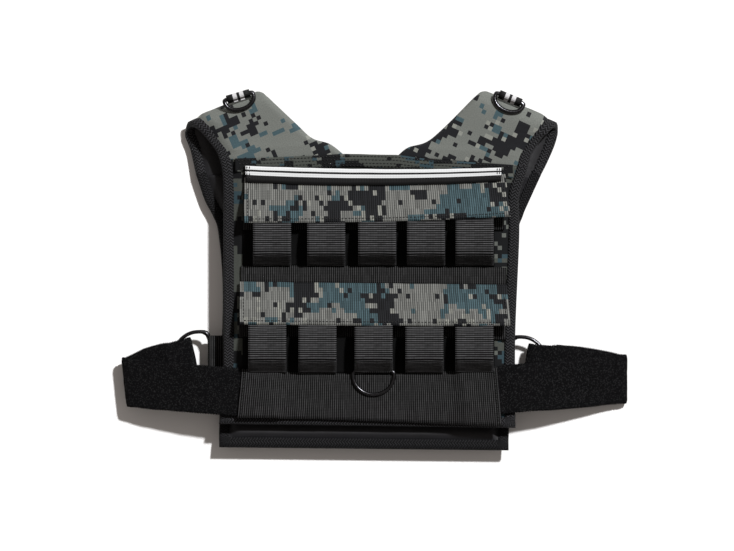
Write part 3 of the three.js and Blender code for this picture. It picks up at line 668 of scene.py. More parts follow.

# %% [markdown]
# ## Pocket slings
# Each empty pocket is a loop of 38 mm webbing. The loop bulges out, turns under and runs back up
# behind. A bent plane would show no thickness at its ends, so the loop is a closed band with two
# faces. Its path is a smooth curve through a few given points, and the band is swept along it, with
# ribs across and selvedges that step in and out with every rib.

# %% Smooth lines
def smooth_point(a, b, c, d, t):
    """The point a share t of the way from b to c, on a smooth curve through all four."""
    return 0.5 * ((2 * b) + (c - a) * t + (2 * a - 5 * b + 4 * c - d) * t * t
                  + (3 * b - a - 3 * c + d) * t ** 3)


def curve(points, step, closed=False):
    """Points along a smooth curve through the given ones, about a step apart."""
    count = len(points)
    spans = count if closed else count - 1
    out = []
    for i in range(spans):
        if closed:
            a, b, c, d = (points[(i + k) % count] for k in (-1, 0, 1, 2))
        else:
            a, b, c, d = (points[min(max(i + k, 0), count - 1)] for k in (-1, 0, 1, 2))
        parts = max(1, round((c - b).length / step))
        out += [smooth_point(a, b, c, d, k / parts) for k in range(parts)]
    if not closed:
        out.append(points[-1].copy())
    return out


def lengths_along(points):
    """How far along the line each of its points lies."""
    lengths = [0.0]
    for before, after in zip(points, points[1:]):
        lengths.append(lengths[-1] + (after - before).length)
    return lengths


quarter = [Vector((0, 0)), Vector((10, 4)), Vector((14, 14))]
print("a curve through three points is", round(lengths_along(curve(quarter, 1))[-1], 1), "mm long")

# %% Shapes of the slings
# Each point of a path is a share of the loop's drop, then a share of its depth.
SLING_WIDTH = 37.4
SLING_DEPTH = 17.7
SLING_FACE = ((0, 0), (0.035, 0.23), (0.12, 0.48), (0.225, 0.68), (0.31, 0.82), (0.44, 0.95),
              (0.58, 1))
UPPER_TURN = ((0.73, 0.99), (0.785, 0.93), (0.83, 0.75), (0.875, 0.51), (0.92, 0.27), (0.955, 0.1),
              (0.945, 0.02), (0.883, 0))
LOWER_TURN = ((0.74, 0.99), (0.785, 0.93), (0.83, 0.74), (0.875, 0.5), (0.92, 0.26), (0.955, 0.1),
              (0.94, 0.02), (0.82, 0.01), (0.68, 0))
# A row's name, its turn, its drop, where its bottom lies and where its loops lie across.
SLING_ROWS = (
    ("pocket_upper", UPPER_TURN, 60, 0.4044, (-0.6706, -0.3051, 0.0392, 0.3693, 0.698)),
    ("pocket_lower", LOWER_TURN, 68, 0.8015, (-0.7034, -0.3642, 0.0155, 0.3588, 0.6966)),
)
print("a sling is", SLING_WIDTH, "mm wide and bulges", SLING_DEPTH, "mm")

# %% Pocket slings
SELVEDGE_STEP = 0.8
SLING_COLUMNS = 12
SLING_SAG = 0.9
SLING_WAVE = (0.5, 24)


def sling(name, turn, drop, bottom, across, seed):
    """One webbing loop, its path drawn down and out, then swept across its width."""
    outline = [Vector((down * drop, out * SLING_DEPTH)) for down, out in SLING_FACE + turn]
    path = curve(outline, RIB / SAMPLES_PER_RIB, closed=True)
    lengths = lengths_along(path)
    x_middle = MIDDLE + HALF * across
    y_top = NECKLINE + drop - FRONT_HEIGHT * bottom

    def place(i, c):
        at = path[i]
        ahead = (path[(i + 1) % len(path)] - path[i - 1]).normalized()
        inward = Vector((-ahead.y, ahead.x))
        share = c / SLING_COLUMNS - 0.5
        edge = SELVEDGE_STEP * (abs(math.sin(math.pi * lengths[i] / RIB)) - 0.5)
        x = x_middle + share * (SLING_WIDTH + 2 * edge)
        sag = SLING_SAG * (share * share * 4) * (at.y / SLING_DEPTH)
        wave = sway((x, at.x * 1.3, at.y), SLING_WAVE, seed)
        outer = at - inward * (rib_height(lengths[i]) - RIB_SINK + wave) + inward * sag
        inner = at + inward * (WEBBING + sag - wave)
        return (Vector((x, y_top - outer.x, WEBBING_SEAT + max(outer.y, -0.05))),
                Vector((x, y_top - inner.x, WEBBING_SEAT + max(inner.y, 0.1))),
                (x - x_middle, lengths[i]))

    band = grids(len(path) - 1, SLING_COLUMNS, place)
    obj = shell(name + "_webbing", band, sling_webbing, "black_webbing", (name,), closed=True)
    return lengths[-1]


for row_name, turn, drop, bottom, places in SLING_ROWS:
    for number, across in enumerate(places, 1):
        used = sling(f"{row_name}_{number}", turn, drop, bottom, across, number * 7)
    print(row_name, "webbing used per loop", round(used), "mm")

# %% [markdown]
# ## Padded halves and straps
# The straps are camouflage cloth over foam, thin at the taped armhole edge and rounded over at
# the neck edge. Each one lies flat, turns over at the shoulder and runs down behind. Simulated
# cloth would move each time a setting changes, so the strap is drawn. A table holds its edges, as
# shares of the yoke's own size. Smooth curves through the rows give the cloth.

# %% The chest seam
HEM_FALL = 11
HEM_SHAPE = ((-1.08, 0.4), (-0.65, 0.23), (-0.18, -0.09), (0.17, 0), (0.4, 0.4), (0.7, 0.68),
             (1.1, 1.05))


def at_row(rows, key, place, value):
    """Reads a value between the rows of a table."""
    if place <= rows[0][key]:
        return rows[0][value]
    for low, high in zip(rows, rows[1:]):
        if place <= high[key]:
            return mix(low[value], high[value], (place - low[key]) / (high[key] - low[key]))
    return rows[-1][value]


def hem_line(x):
    """Height of the seam line at the chest, from the neckline."""
    rows = [{"x": across, "y": drop} for across, drop in HEM_SHAPE]
    return -HEM_FALL * at_row(rows, "x", x / HALF, "y")


print("the seam drops", round(hem_line(-HALF) - hem_line(HALF), 1), "mm from left to right")

# %% Strap tables
BACK_LEAF = 6.5
FRONT_LEAF = 25.7
STRAP_PAD = 12
SLOPE_START = 10.8
PAD_SLOPE = 9
EDGE = 1.75
# Each row holds the outer edge across and up, the inner edge across and up, the level between
# the back leaf and the front one, and the share of the padding. Front rows come first.
LEFT_STRAP = (
    ((0.802, -0.03, 0.1435, 0, 1.17, 0.62), (0.822, 0.078, 0.219, 0.1875, 1.1, 0.92),
     (0.851, 0.195, 0.314, 0.281, 1.03, 1), (0.883, 0.312, 0.399, 0.508, 1, 1),
     (0.904, 0.383, 0.52, 0.844, 1, 1)),
    ((0.986, 0.3125, 0.581, 0.773, 0, 1), (0.96, 0.1125, 0.552, 0.453, 0, 1),
     (0.944, -0.078, 0.473, 0.094, 0.05, 1), (0.928, -0.28, 0.192, -0.28, 0.13, 0.95)),
)
RIGHT_STRAP = (
    ((0.829, -0.16, 0.1376, 0, 1.17, 0.62), (0.845, 0.008, 0.194, 0.133, 1.1, 0.92),
     (0.872, 0.14, 0.2927, 0.222, 1.03, 1), (0.909, 0.297, 0.385, 0.445, 1, 1),
     (0.93, 0.344, 0.5225, 0.852, 1, 1)),
    ((0.986, 0.328, 0.578, 0.781, 0, 1), (0.967, 0.14, 0.544, 0.453, 0, 1),
     (0.93, -0.11, 0.464, 0.094, 0.05, 1), (0.898, -0.28, 0.1837, -0.28, 0.13, 0.95)),
)
print("a strap has", len(LEFT_STRAP[0]), "front rows and", len(LEFT_STRAP[1]), "back rows")

# %% Rows of a strap
FOLD_STEPS = 6
BACK_SEAM = 19


def fold_directions(row, sign):
    """Level directions from a row's outer edge to its inner one, and out over the shoulder."""
    along = row[1] - row[0]
    along.z = 0
    along.normalize()
    return along, Vector((sign * along.y, -sign * along.x, 0))


def strap_rows(table, sign):
    """Rows of outer edge, inner edge, outward direction and padding along a strap."""
    def row(entry, up):
        outer, outer_up, inner, inner_up, level, pad = entry
        z = mix(BACK_LEAF, FRONT_LEAF, level)
        return (Vector((sign * YOKE_HALF * outer, RISE * outer_up, z)),
                Vector((sign * YOKE_HALF * inner, RISE * inner_up, z)), Vector((0, 0, up)), pad)
    front = [row(entry, 1) for entry in table[0]]
    back = [row(entry, -1) for entry in table[1]]
    front[0][0].y, front[0][1].y = hem_line(front[0][0].x), hem_line(front[0][1].x)
    back[-1][0].y = back[-1][1].y = -BACK_SEAM
    start, end = front[-1], back[0]
    _, outward = fold_directions(start, sign)
    radius = (FRONT_LEAF - BACK_LEAF) / 2
    fold = []
    for step in range(1, FOLD_STEPS):
        angle = math.pi * step / FOLD_STEPS
        edges = []
        for k in (0, 1):
            at = start[k].lerp(end[k], step / FOLD_STEPS) + outward * radius * math.sin(angle)
            at.z = (FRONT_LEAF + BACK_LEAF) / 2 + radius * math.cos(angle)
            edges.append(at)
        normal = outward * math.sin(angle) + Vector((0, 0, math.cos(angle)))
        fold.append((edges[0], edges[1], normal, 1))
    shift = Vector((MIDDLE, NECKLINE, 0))
    return [(a + shift, b + shift, n, pad) for a, b, n, pad in front + fold + back]


print(len(strap_rows(LEFT_STRAP, -1)), "rows with those of the fold")

# %% Smooth rows
def finer_rows(rows, step):
    """The strap's rows again, on smooth curves and about a step apart."""
    lines = []
    spans = len(rows) - 1
    counts = [max(1, round(max((rows[i + 1][k] - rows[i][k]).length for k in (0, 1)) / step))
              for i in range(spans)]
    for k in (0, 1, 2):
        points = [row[k] for row in rows]
        line = []
        for i in range(spans):
            a, b, c, d = (points[min(max(i + j, 0), spans)] for j in (-1, 0, 1, 2))
            line += [smooth_point(a, b, c, d, part / counts[i]) for part in range(counts[i])]
        line.append(points[-1].copy())
        lines.append(line)
    pads = [mix(rows[i][3], rows[i + 1][3], part / counts[i]) for i in range(spans)
            for part in range(counts[i])] + [rows[-1][3]]
    return [(a, b, n.normalized(), pad) for a, b, n, pad in zip(*lines, pads)]


STRAP_STEP = 2.2
print(len(finer_rows(strap_rows(LEFT_STRAP, -1), STRAP_STEP)), "rows after smoothing")

# %% Padding of a strap
STRAP_COLUMNS = 34
NECK_ROUND = 7
TAPE_LEAD = 3
TUCK_AT = 17
TUCK_REACH = 16
CREASE_WAVE = (0.7, 9)
SWELL_WAVE = (0.8, 34)


def pad_share(distance, width):
    """Share of the full padding at a distance from the taped edge."""
    taped = min(max((distance - SLOPE_START + TAPE_LEAD) / (PAD_SLOPE + TAPE_LEAD), 0), 1)
    turned = min(max((width - distance) / NECK_ROUND, 0), 1)
    return math.sin(taped * math.pi / 2), math.sqrt(max(0.0, 1 - (1 - turned) ** 2))


def pucker(at, run, distance, seed):
    """Small creases that the tape pulls into the cloth, and a slow swell."""
    tuck = max(0, 1 - abs(distance - TUCK_AT) / TUCK_REACH)
    crease = sway((run, distance * 0.35, 0), CREASE_WAVE, seed) * tuck
    return crease + sway((at.x, at.y, at.z), SWELL_WAVE, seed + 3)


print("share of the padding 10 mm in:", round(pad_share(10, 60)[0], 2))

# %% Straps
def strap(end, table, sign, seed):
    """A padded strap from the chest seam over the shoulder fold to the back seam."""
    rows = finer_rows(strap_rows(table, sign), STRAP_STEP)
    top, under, flat = [], [], []
    middles = [(outer + inner) / 2 for outer, inner, _, _ in rows]
    runs = lengths_along(middles)
    fold = next(i for i, row in enumerate(rows) if row[2].z < 0.999)
    along, outward = fold_directions(rows[fold], sign)
    last = []
    for run, (outer, inner, normal, pad) in zip(runs, rows):
        width = (inner - outer).length
        top_row, under_row, flat_row, places = [], [], [], []
        for c in range(STRAP_COLUMNS + 1):
            share = 1 - (1 - c / STRAP_COLUMNS) ** 1.15
            distance = EDGE + share * (width - EDGE)
            at = outer.lerp(inner, distance / width)
            taped, turned = pad_share(distance, width)
            half = mix(SEAM, STRAP_PAD * pad, taped) / 2 * turned
            lift = pucker(at, run, distance, seed) * taped * turned
            top_row.append(at + normal * (half + lift))
            under_row.append(at - normal * (half - 0.4 * lift))
            if last:
                before, unrolled = last[c]
                moved = at - before
                unrolled += math.hypot(moved.dot(outward), moved.z)
            else:
                unrolled = at.dot(outward)
            places.append((at, unrolled))
            flat_row.append((at.dot(along) + seed * 170, unrolled + seed * 90))
        last = places
        top.append(top_row)
        under.append(under_row)
        flat.append(flat_row)
    node = f"shoulder_strap_{end}"
    obj = shell(node + "_cloth", (top, under, flat), camo_cloth, "camo_fabric", (node,),
                inside=lining)
    print(node, round(runs[-1]), "mm from the chest to the back seam")
    return rows


strap_lines = {"left": strap("left", LEFT_STRAP, sign=-1, seed=3),
               "right": strap("right", RIGHT_STRAP, sign=1, seed=8)}

# %% [markdown]
# ## Herringbone tape
# The raw edges are bound in 25 mm herringbone tape folded over them. Its weave runs in small
# chevrons, too fine for relief, so the material draws them as bump and tone. The slant is the
# run along the tape plus a distance that goes up and down across it. Threads of about 0.7 mm
# wouldn't show, so the chevrons are drawn 2.9 mm apart.

# %% Herringbone finish
CHEVRON_TURN = 2.6
CHEVRON_SPACING = 2.9


def herringbone_finish(name, ink, fleck):
    """Black polyester twill tape: slanted ribs that turn back halfway across."""
    material, tree, shader = blank_material(name)
    across = add(tree, "Math", (flat_axis(tree, 1), CHEVRON_TURN), operation="PINGPONG")
    slanted = add(tree, "Math", (flat_axis(tree, 0), across), operation="ADD")
    wave = wave_along(tree, slanted, CHEVRON_SPACING)
    cloud = add(tree, "TexNoise", {"Vector": flat_mm(tree), "Scale": 0.6, "Detail": 2.0},
                noise_dimensions="2D")
    rise = add(tree, "Math", (wave, 0.5, 0.5), operation="MULTIPLY_ADD")
    crest = add(tree, "Math", (rise, 2.5), operation="POWER")
    flecks = add(tree, "Math", (cloud, fleck), operation="MULTIPLY")
    tone = add(tree, "Math", (crest, flecks, 0.16), operation="MULTIPLY_ADD")
    dye = add(tree, "RGB")
    dye.default_value = linear(ink)
    toned = add(tree, "VectorMath", {0: dye, "Scale": tone}, operation="SCALE")
    coat(tree, shader, toned, roughness=0.7, shine=0.1)
    bumped(tree, shader, wave, strength=0.6, distance=0.3)
    return material


herringbone = herringbone_finish("black_herringbone_tape", "#252527", fleck=3.6)
# A darker copy of the same tape for the back half's binding, which lies under the front: painted
# shade.
shaded_herringbone = herringbone_finish("black_herringbone_tape_painted_shade", "#1c1c1e", fleck=2.6)
print("chevrons drawn", CHEVRON_SPACING, "mm apart")

# %% [markdown]
# ## Tape along an edge
# The tape is one profile, a flattened C, carried along the edge that it binds. The edge gives a
# list of frames: a place, the way inward and the way up. The tape puckers a little between its
# stitches, which a quick wave along the run gives.

# %% Tape along an edge
TAPE_WIDTH = 10.5
TAPE_HALF = 3.3
PUCKER_SPACING = 5.2
PUCKER_DEPTH = 0.35
PUCKER_DRIFT = (2, 30)
TAPE_EDGE_WAVE = (0.3, 6)
TAPE_INNER_SHARE = 0.62
TAPE_PROFILE = (
    (TAPE_WIDTH, -TAPE_HALF + 1.0), (TAPE_WIDTH, -TAPE_HALF), (6, -TAPE_HALF - 0.1),
    (1.2, -TAPE_HALF + 0.1), (0.2, -TAPE_HALF * 0.6), (0, 0), (0.2, TAPE_HALF * 0.6),
    (1.2, TAPE_HALF - 0.1), (4, TAPE_HALF + 0.1), (7.5, TAPE_HALF + 0.1),
    (TAPE_WIDTH, TAPE_HALF), (TAPE_WIDTH, TAPE_HALF - 1.0),
)


def tape(node, frames, seed):
    """Tape folded over an edge, given frames of place, inward and up directions."""
    runs = lengths_along([at for at, _, _ in frames])
    across = lengths_along([Vector(point) for point in TAPE_PROFILE])

    def place(i, c):
        at, inward, up = frames[i]
        x, z = TAPE_PROFILE[c]
        drift = sway((runs[i], 0, 0), PUCKER_DRIFT, seed)
        crease = PUCKER_DEPTH * math.sin(runs[i] * math.tau / PUCKER_SPACING + drift)
        edge = sway((runs[i], 5, 0), TAPE_EDGE_WAVE, seed)
        lap = max(0, (x - 2) / TAPE_WIDTH)
        height = z + crease * lap * (1 if z > 0 else -1)
        outer = at + inward * (x + edge * lap) + up * height
        inner = at + inward * max(x, 1.0) * 0.999 + up * (z * TAPE_INNER_SHARE)
        return outer, inner, (runs[i], across[c])

    folded = grids(len(frames) - 1, len(TAPE_PROFILE) - 1, place)
    # The back half's tape takes the darker copy: painted shade.
    finish = shaded_herringbone if node == "back_binding" else herringbone
    obj = shell(node + "_tape", folded, finish, "binding_tape", (node,))
    print(node, "tape", round(runs[-1]), "mm")


print("the folded tape reaches", TAPE_WIDTH, "mm in from the edge")

# %% Armhole tape
def strap_frames(rows):
    """Frames for the tape on a strap's armhole edge."""
    frames = []
    for outer, inner, normal, _ in rows:
        inward = inner - outer
        inward -= normal * inward.dot(normal)
        frames.append((outer, inward.normalized(), normal))
    return frames


for end, seed in (("left", 11), ("right", 12)):
    tape(f"strap_binding_{end}", strap_frames(strap_lines[end]), seed)

# %% [markdown]
# ## Front and back halves
# Both halves are foam between cloth. Nearly all of the front one hides under the webbing, and
# the back one shows through the armholes and below the front. Each is a pillow over the same
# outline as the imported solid, because a rounded copy of that solid would be smooth where real
# cloth is wavy. The lower edge of the back half curls off the floor, as its shadow shows.

# %% Outlines of the halves
FRONT_SIDES = [{"down": a, "left": b, "right": c} for a, b, c in (
    (0, 1.024, 1.058), (0.04, 1.008, 1.038), (0.12, 1, 0.998), (0.27, 1, 1), (0.64, 1, 0.973),
    (0.9, 1.006, 0.973), (1, 1.03, 0.975))]
BACK_SIDES = [{"down": a, "left": b, "right": c} for a, b, c in (
    (0, 1.184, 1.147), (0.095, 1.124, 1.066), (0.147, 1.074, 1.025), (0.22, 1.032, 0.99),
    (0.45, 1.004, 0.975), (0.93, 1.028, 0.93), (1, 1.028, 0.928))]
BACK_BOTTOM = 293
HALVES = {
    "front": {"sides": FRONT_SIDES, "node": "front_panel", "slot": "camo_fabric", "mid": 29,
              "pad": 10, "curl": 0, "top": hem_line,
              "bottom": lambda x: -FRONT_HEIGHT + 2 * (1 - x / HALF)},
    "back": {"sides": BACK_SIDES, "node": "back_panel", "slot": "lining", "mid": 9,
             "pad": 18, "curl": 7.5, "top": lambda x: -BACK_SEAM,
             "bottom": lambda x: -BACK_BOTTOM - 1.6 * x / HALF},
}


print("the back half reaches", BACK_BOTTOM, "mm below the neckline")

# %% Pillows
CURL_REACH = 32
HALF_STEPS = 90
RIM_FLAT = 9
PANEL_MAP = (764, 409)
PANEL_WAVE = (0.6, 28)
PANEL_RIPPLE = (0.3, 11)
PANEL_SINK = 0.3


def curled(half, y):
    """How far the lower edge of a half curls up off the floor."""
    share = min(max(1 - (y - half["bottom"](0)) / CURL_REACH, 0), 1)
    return half["curl"] * share * share * (3 - 2 * share)


def half_panel(half, material, seed):
    """A pillow over the half's outline, thin where the tape holds it."""
    drop = half["top"](0) - half["bottom"](0)

    def place(r, c):
        down = r / HALF_STEPS * (drop - EDGE) / drop
        left = -HALF * at_row(half["sides"], "down", down, "left") + EDGE * 1.1
        right = HALF * at_row(half["sides"], "down", down, "right") - EDGE * 1.1
        x = mix(left, right, c / HALF_STEPS)
        y = mix(half["top"](x), half["bottom"](x), down)
        edge = min(x - left, right - x, (1 - down) * drop)
        share = math.sin(min(max((edge - RIM_FLAT) / PAD_SLOPE, 0), 1) * math.pi / 2)
        wave = (sway((x, y, 0), PANEL_WAVE, seed) + sway((x, y, 0), PANEL_RIPPLE, seed)) * share
        thick = mix(SEAM, half["pad"], share) / 2
        mid = half["mid"] + curled(half, y)
        return (Vector((MIDDLE + x, NECKLINE + y, mid + thick + wave - PANEL_SINK * share)),
                Vector((MIDDLE + x, NECKLINE + y, mid - thick + max(0, 0.5 * wave))),
                (x + PANEL_MAP[0], y + PANEL_MAP[1]))

    pillow = grids(HALF_STEPS, HALF_STEPS, place)
    obj = shell(half["node"] + "_cloth", pillow, material, half["slot"], (half["node"],))
    print(half["node"], round(drop), "mm long,", half["pad"], "mm thick")


# The front half takes the darker cloth, whose darkness is painted shade.
half_panel(HALVES["front"], shaded_camo_cloth, seed=21)
half_panel(HALVES["back"], lining, seed=22)

# %% Tape round the halves
EDGE_STEP = 1.4


def side_point(half, row, side, sign):
    """A point on the left or right side of a half."""
    x = sign * HALF * row[side]
    return Vector((x, mix(half["top"](x), half["bottom"](x), row["down"]), half["mid"]))


def edge_legs(half):
    """Lines down the left side, along the bottom and up the right side."""
    left = [side_point(half, row, "left", -1) for row in half["sides"]]
    right = [side_point(half, row, "right", 1) for row in reversed(half["sides"])]
    legs = [curve(points, EDGE_STEP) for points in (left, [left[-1], right[0]], right)]
    for leg in legs:
        for at in leg:
            at.z += curled(half, at.y)
    return legs


def edge_frames(half):
    """Frames for the tape round a half, with one mitred frame at each corner."""
    legs = edge_legs(half)
    up = Vector((0, 0, 1))
    shift = Vector((MIDDLE, NECKLINE, 0))
    frames = []
    for number, leg in enumerate(legs):
        for i, at in enumerate(leg):
            ahead = (leg[min(i + 2, len(leg) - 1)] - leg[max(i - 2, 0)]).normalized()
            near_start = number > 0 and (at - leg[0]).length < TAPE_WIDTH
            near_end = number < 2 and (at - leg[-1]).length < TAPE_WIDTH
            if not (near_start or near_end):
                frames.append((at + shift, Vector((-ahead.y, ahead.x, 0)), up))
        if number < 2:
            here = (leg[-1] - leg[-3]).normalized()
            there = (legs[number + 1][2] - legs[number + 1][0]).normalized()
            mitre = Vector((-here.y - there.y, here.x + there.x, 0)).normalized()
            frames.append((leg[-1] + shift, mitre / (-here.y * mitre.x + here.x * mitre.y), up))
    return frames


for name, seed in (("front", 31), ("back", 32)):
    tape(f"{name}_binding", edge_frames(HALVES[name]), seed)

# %% [markdown]
# ## Belts
# The belts are 50 mm strap with a velvety loop face. Loop pile is nearly black, because light
# that goes in between the loops hardly comes out. Modelled loops would be a million threads, so
# pale specks of 0.8 mm and a soft bump stand for them.

# %% Pile finish
LOOP = (0.8, 0.8, 1)
SPECK_SHARE = 0.16


def pile_finish():
    """Black loop pile: very dark and matt, with pale specks of lint."""
    material, tree, shader = blank_material("black_nylon_loop_pile")
    place = flat_mm(tree)
    fuzz = add(tree, "TexNoise", {"Vector": place, "Scale": 0.7, "Detail": 4.0, "Roughness": 0.75},
               noise_dimensions="2D")
    share = add(tree, "MapRange", (fuzz, 0.35, 0.8))
    ground = add(tree, "Mix", {0: share, 6: linear("#060607"), 7: linear("#141415")}, 2,
                 data_type="RGBA")
    tip = add(tree, "VectorMath", (place, LOOP), operation="SNAP")
    loop = add(tree, "TexWhiteNoise", {"Vector": tip}, noise_dimensions="2D")
    speck = add(tree, "Math", (loop, 1 - SPECK_SHARE), operation="GREATER_THAN")
    faint = add(tree, "Math", (speck, 0.5), operation="MULTIPLY")
    colour = add(tree, "Mix", {0: faint, 6: ground, 7: linear("#2c2c2d")}, 2, data_type="RGBA")
    coat(tree, shader, colour, roughness=0.95, shine=0.04)
    bumped(tree, shader, fuzz, strength=0.8, distance=0.8)
    return material


pile = pile_finish()
print("loops drawn", LOOP[0], "mm apart")

# %% [markdown]
# ## The run of a belt
# A belt comes out from under the lower band, runs to its outer end, turns back and wraps the
# side ring. A table of places along each belt gives its height and its lean, and a second table
# gives the wrap, in shares of the ring's size. The strap is swept along a smooth curve through
# them, with a fine saw edge where the pile was cut.

# %% Belt tables
BELT = 3
BELT_WIDTH = 48
BELT_ROOT = SEAT + BELT / 2
RING_WIRE = 3.5
RING_DEPTH = 39.5
RING_HEIGHT = 9 + TAPE_HALF + CLEAR + RING_WIRE / 2 + CLEAR + 1.3
# Each place of a run holds shares of the reach, the front's height and the root's height, and
# the lean of the strap in degrees. A wrap holds its lean, its drop and its climb.
BELTS = (
    {"name": "belt_left", "sign": -1, "across": 1.083, "ring_down": 0.746, "reach": 247.6,
     "wrap": (12, 5, 0.28),
     "run": ((0.4334, 0.869, 1, -4.7), (0.563, 0.866, 1, -4.7), (0.692, 0.857, 0.936, -4.7),
             (0.833, 0.846, 0.77, -4), (0.934, 0.838, 0.63, -1), (0.98, 0.834, 0.565, 4),
             (0.991, 0.832, 0.53, 6), (0.994, 0.831, 0.46, 6), (0.991, 0.83, 0.385, 6),
             (0.98, 0.829, 0.35, 9), (0.894, 0.794, 0.42, 14))},
    {"name": "belt_right", "sign": 1, "across": 0.93, "ring_down": 0.765, "reach": 256,
     "wrap": (-10, 3, 0.125),
     "run": ((0.4246, 0.869, 1, 5.1), (0.534, 0.857, 1, 5.1), (0.62, 0.85, 0.908, 5.1),
             (0.737, 0.843, 0.684, 5.1), (0.854, 0.833, 0.433, 4), (0.952, 0.8235, 0.265, 2),
             (0.98, 0.822, 0.234, 1), (0.991, 0.821, 0.21, 0), (0.994, 0.82, 0.168, 0),
             (0.991, 0.819, 0.126, 0), (0.98, 0.818, 0.102, -1), (0.952, 0.814, 0.095, -3),
             (0.854, 0.795, 0.168, -5), (0.776, 0.787, 0.307, -6))},
)
# Each place of the wrap holds shares of the ring's depth, of the layer above it and of the width.
RING_WRAP = ((-0.157, 1, 0.95), (0, 1.05, 0.9), (0.324, 1, 0.88), (0.48, 0.62, 0.87),
             (0.527, 0, 0.87), (0.48, -0.62, 0.87), (0.324, -1, 0.88),
             (-0.055, -1.1, 0.9), (-0.46, -1.7, 0.95))
BELT_STEP = 0.8
print("the pile strap is", BELT_WIDTH, "mm wide and", BELT, "mm thick")

# %% Rows of a belt
def belt_rows(spec):
    """Rows of place, lean and share of the width, along the run and round the ring."""
    sign = spec["sign"]
    lean_wrap, drop, climb = spec["wrap"]
    bow_x = HALF * spec["across"] + RING_DEPTH - RING_WIRE / 2
    layer = RING_WIRE / 2 + BELT / 2 + 2 * CLEAR
    rows = [(Vector((sign * spec["reach"] * out, -FRONT_HEIGHT * down, BELT_ROOT * height)), lean, 1)
            for out, down, height, lean in spec["run"]]
    for inward, above, wide in RING_WRAP:
        reach = RING_DEPTH * inward
        y = -FRONT_HEIGHT * spec["ring_down"] - drop + climb * reach
        at = Vector((sign * (bow_x - reach), y, RING_HEIGHT + layer * above))
        rows.append((at, lean_wrap, wide))
    return rows


print(len(belt_rows(BELTS[0])), "places guide the left belt")

# %% Belts
BELT_COLUMNS = 28
TOOTH = 0.6
TOOTH_WAVE = (0.5, 20)
BELT_WAVE = (0.5, 30)
BELT_RIPPLE = (0.25, 4)
RIM_ROUND = 0.6
RIM_START = 0.44
RIM_SHARE = 0.06


def belt(spec, seed):
    """Sweeps the pile strap along its run and round its ring."""
    rows = belt_rows(spec)
    line = curve([at for at, _, _ in rows], BELT_STEP)
    runs = lengths_along(line)
    leans = [Vector((lean, wide)) for _, lean, wide in rows]
    counts = [max(1, round((b[0] - a[0]).length / BELT_STEP)) for a, b in zip(rows, rows[1:])]
    turns = [leans[i].lerp(leans[i + 1], k / counts[i]) for i in range(len(counts))
             for k in range(counts[i])] + [leans[-1]]
    shift = Vector((MIDDLE, NECKLINE, 0))

    def place(i, c):
        run = runs[i]
        angle = math.radians(turns[i].x)
        inward = Vector((-math.sin(angle), math.cos(angle), 0))
        ahead = line[min(i + 2, len(line) - 1)] - line[max(i - 2, 0)]
        up = ahead.cross(inward).normalized()
        tooth = TOOTH * (1 if i % 2 else -1) + sway((run, 0, 0), TOOTH_WAVE, seed)
        share = c / BELT_COLUMNS - 0.5
        at_edge = abs(share) > 0.49
        across = share * (BELT_WIDTH * turns[i].y + 2 * tooth * at_edge)
        at = line[i] + inward * across
        wave = sway((run, across, 0), BELT_WAVE, seed) + sway((run, across, 0), BELT_RIPPLE, seed)
        rim = RIM_ROUND * max(0, (abs(share) - RIM_START) / RIM_SHARE)
        return (at + up * (BELT / 2 + wave - rim) + shift,
                at - up * (BELT / 2 - wave * 0.7 - rim) + shift,
                (run, across + 200 * seed))

    swept = grids(len(line) - 1, BELT_COLUMNS, place)
    obj = shell(spec["name"] + "_pile", swept, pile, "belt_pile", (spec["name"],))
    print(spec["name"], "cut length", round(runs[-1]), "mm")


for seed, spec in enumerate(BELTS, 1):
    belt(spec, seed)

# %% [markdown]
# ## Rings and tabs
# The rings are bent steel wire with a dark plated finish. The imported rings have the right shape,
# so they are only rounded. Smoothing thins a ring, so its copy swells a little. The tabs that hold
# the rings are folded webbing, and the shoulder tabs have two pale stripes woven in.

# %% Ring finish
def plated_steel():
    """Black nickel on bent steel wire: dark, glossy, faint wear."""
    material, tree, shader = blank_material("black_nickel_plated_steel")
    place = add(tree, "TexCoord", output="Object")
    cloud = add(tree, "TexNoise", {"Vector": place, "Scale": 260.0, "Detail": 3.0})
    colour = add(tree, "Mix", {0: cloud, 6: linear("#29292b"), 7: linear("#4a4a4d")}, 2,
                 data_type="RGBA")
    coat(tree, shader, colour, roughness=0.24)
    shader.inputs["Metallic"].default_value = 1.0
    return material


steel = plated_steel()
print("finish for the rings:", steel.name)

# %% Striped webbing
STRIPE_INNER = 1.4
STRIPE_OUTER = 5.6
TAB_THREAD = 1.5


def striped_tab():
    """Black webbing with two pale stripes along it."""
    material, tree, shader = blank_material("striped_nylon_webbing")
    away = add(tree, "Math", (flat_axis(tree, 0),), operation="ABSOLUTE")
    outside = add(tree, "Math", (away, STRIPE_INNER), operation="GREATER_THAN")
    within = add(tree, "Math", (away, STRIPE_OUTER), operation="LESS_THAN")
    stripe = add(tree, "Math", (outside, within), operation="MULTIPLY")
    colour = add(tree, "Mix", {0: stripe, 6: linear("#19191a"), 7: linear("#c4c4c6")}, 2,
                 data_type="RGBA")
    threads = wave_along(tree, flat_axis(tree, 1), TAB_THREAD)
    shade = add(tree, "Math", (threads, 0.12, 0.95), operation="MULTIPLY_ADD")
    toned = add(tree, "VectorMath", {0: colour, "Scale": shade}, operation="SCALE")
    coat(tree, shader, toned, roughness=0.6, shine=0.15)
    bumped(tree, shader, threads, strength=0.4, distance=0.2)
    return material


tab_webbing = striped_tab()
print("stripes are", round(STRIPE_OUTER - STRIPE_INNER, 1), "mm wide")

# %% Rounded copies
COPY_LEVELS = 2
WELD_REACH = 0.00002


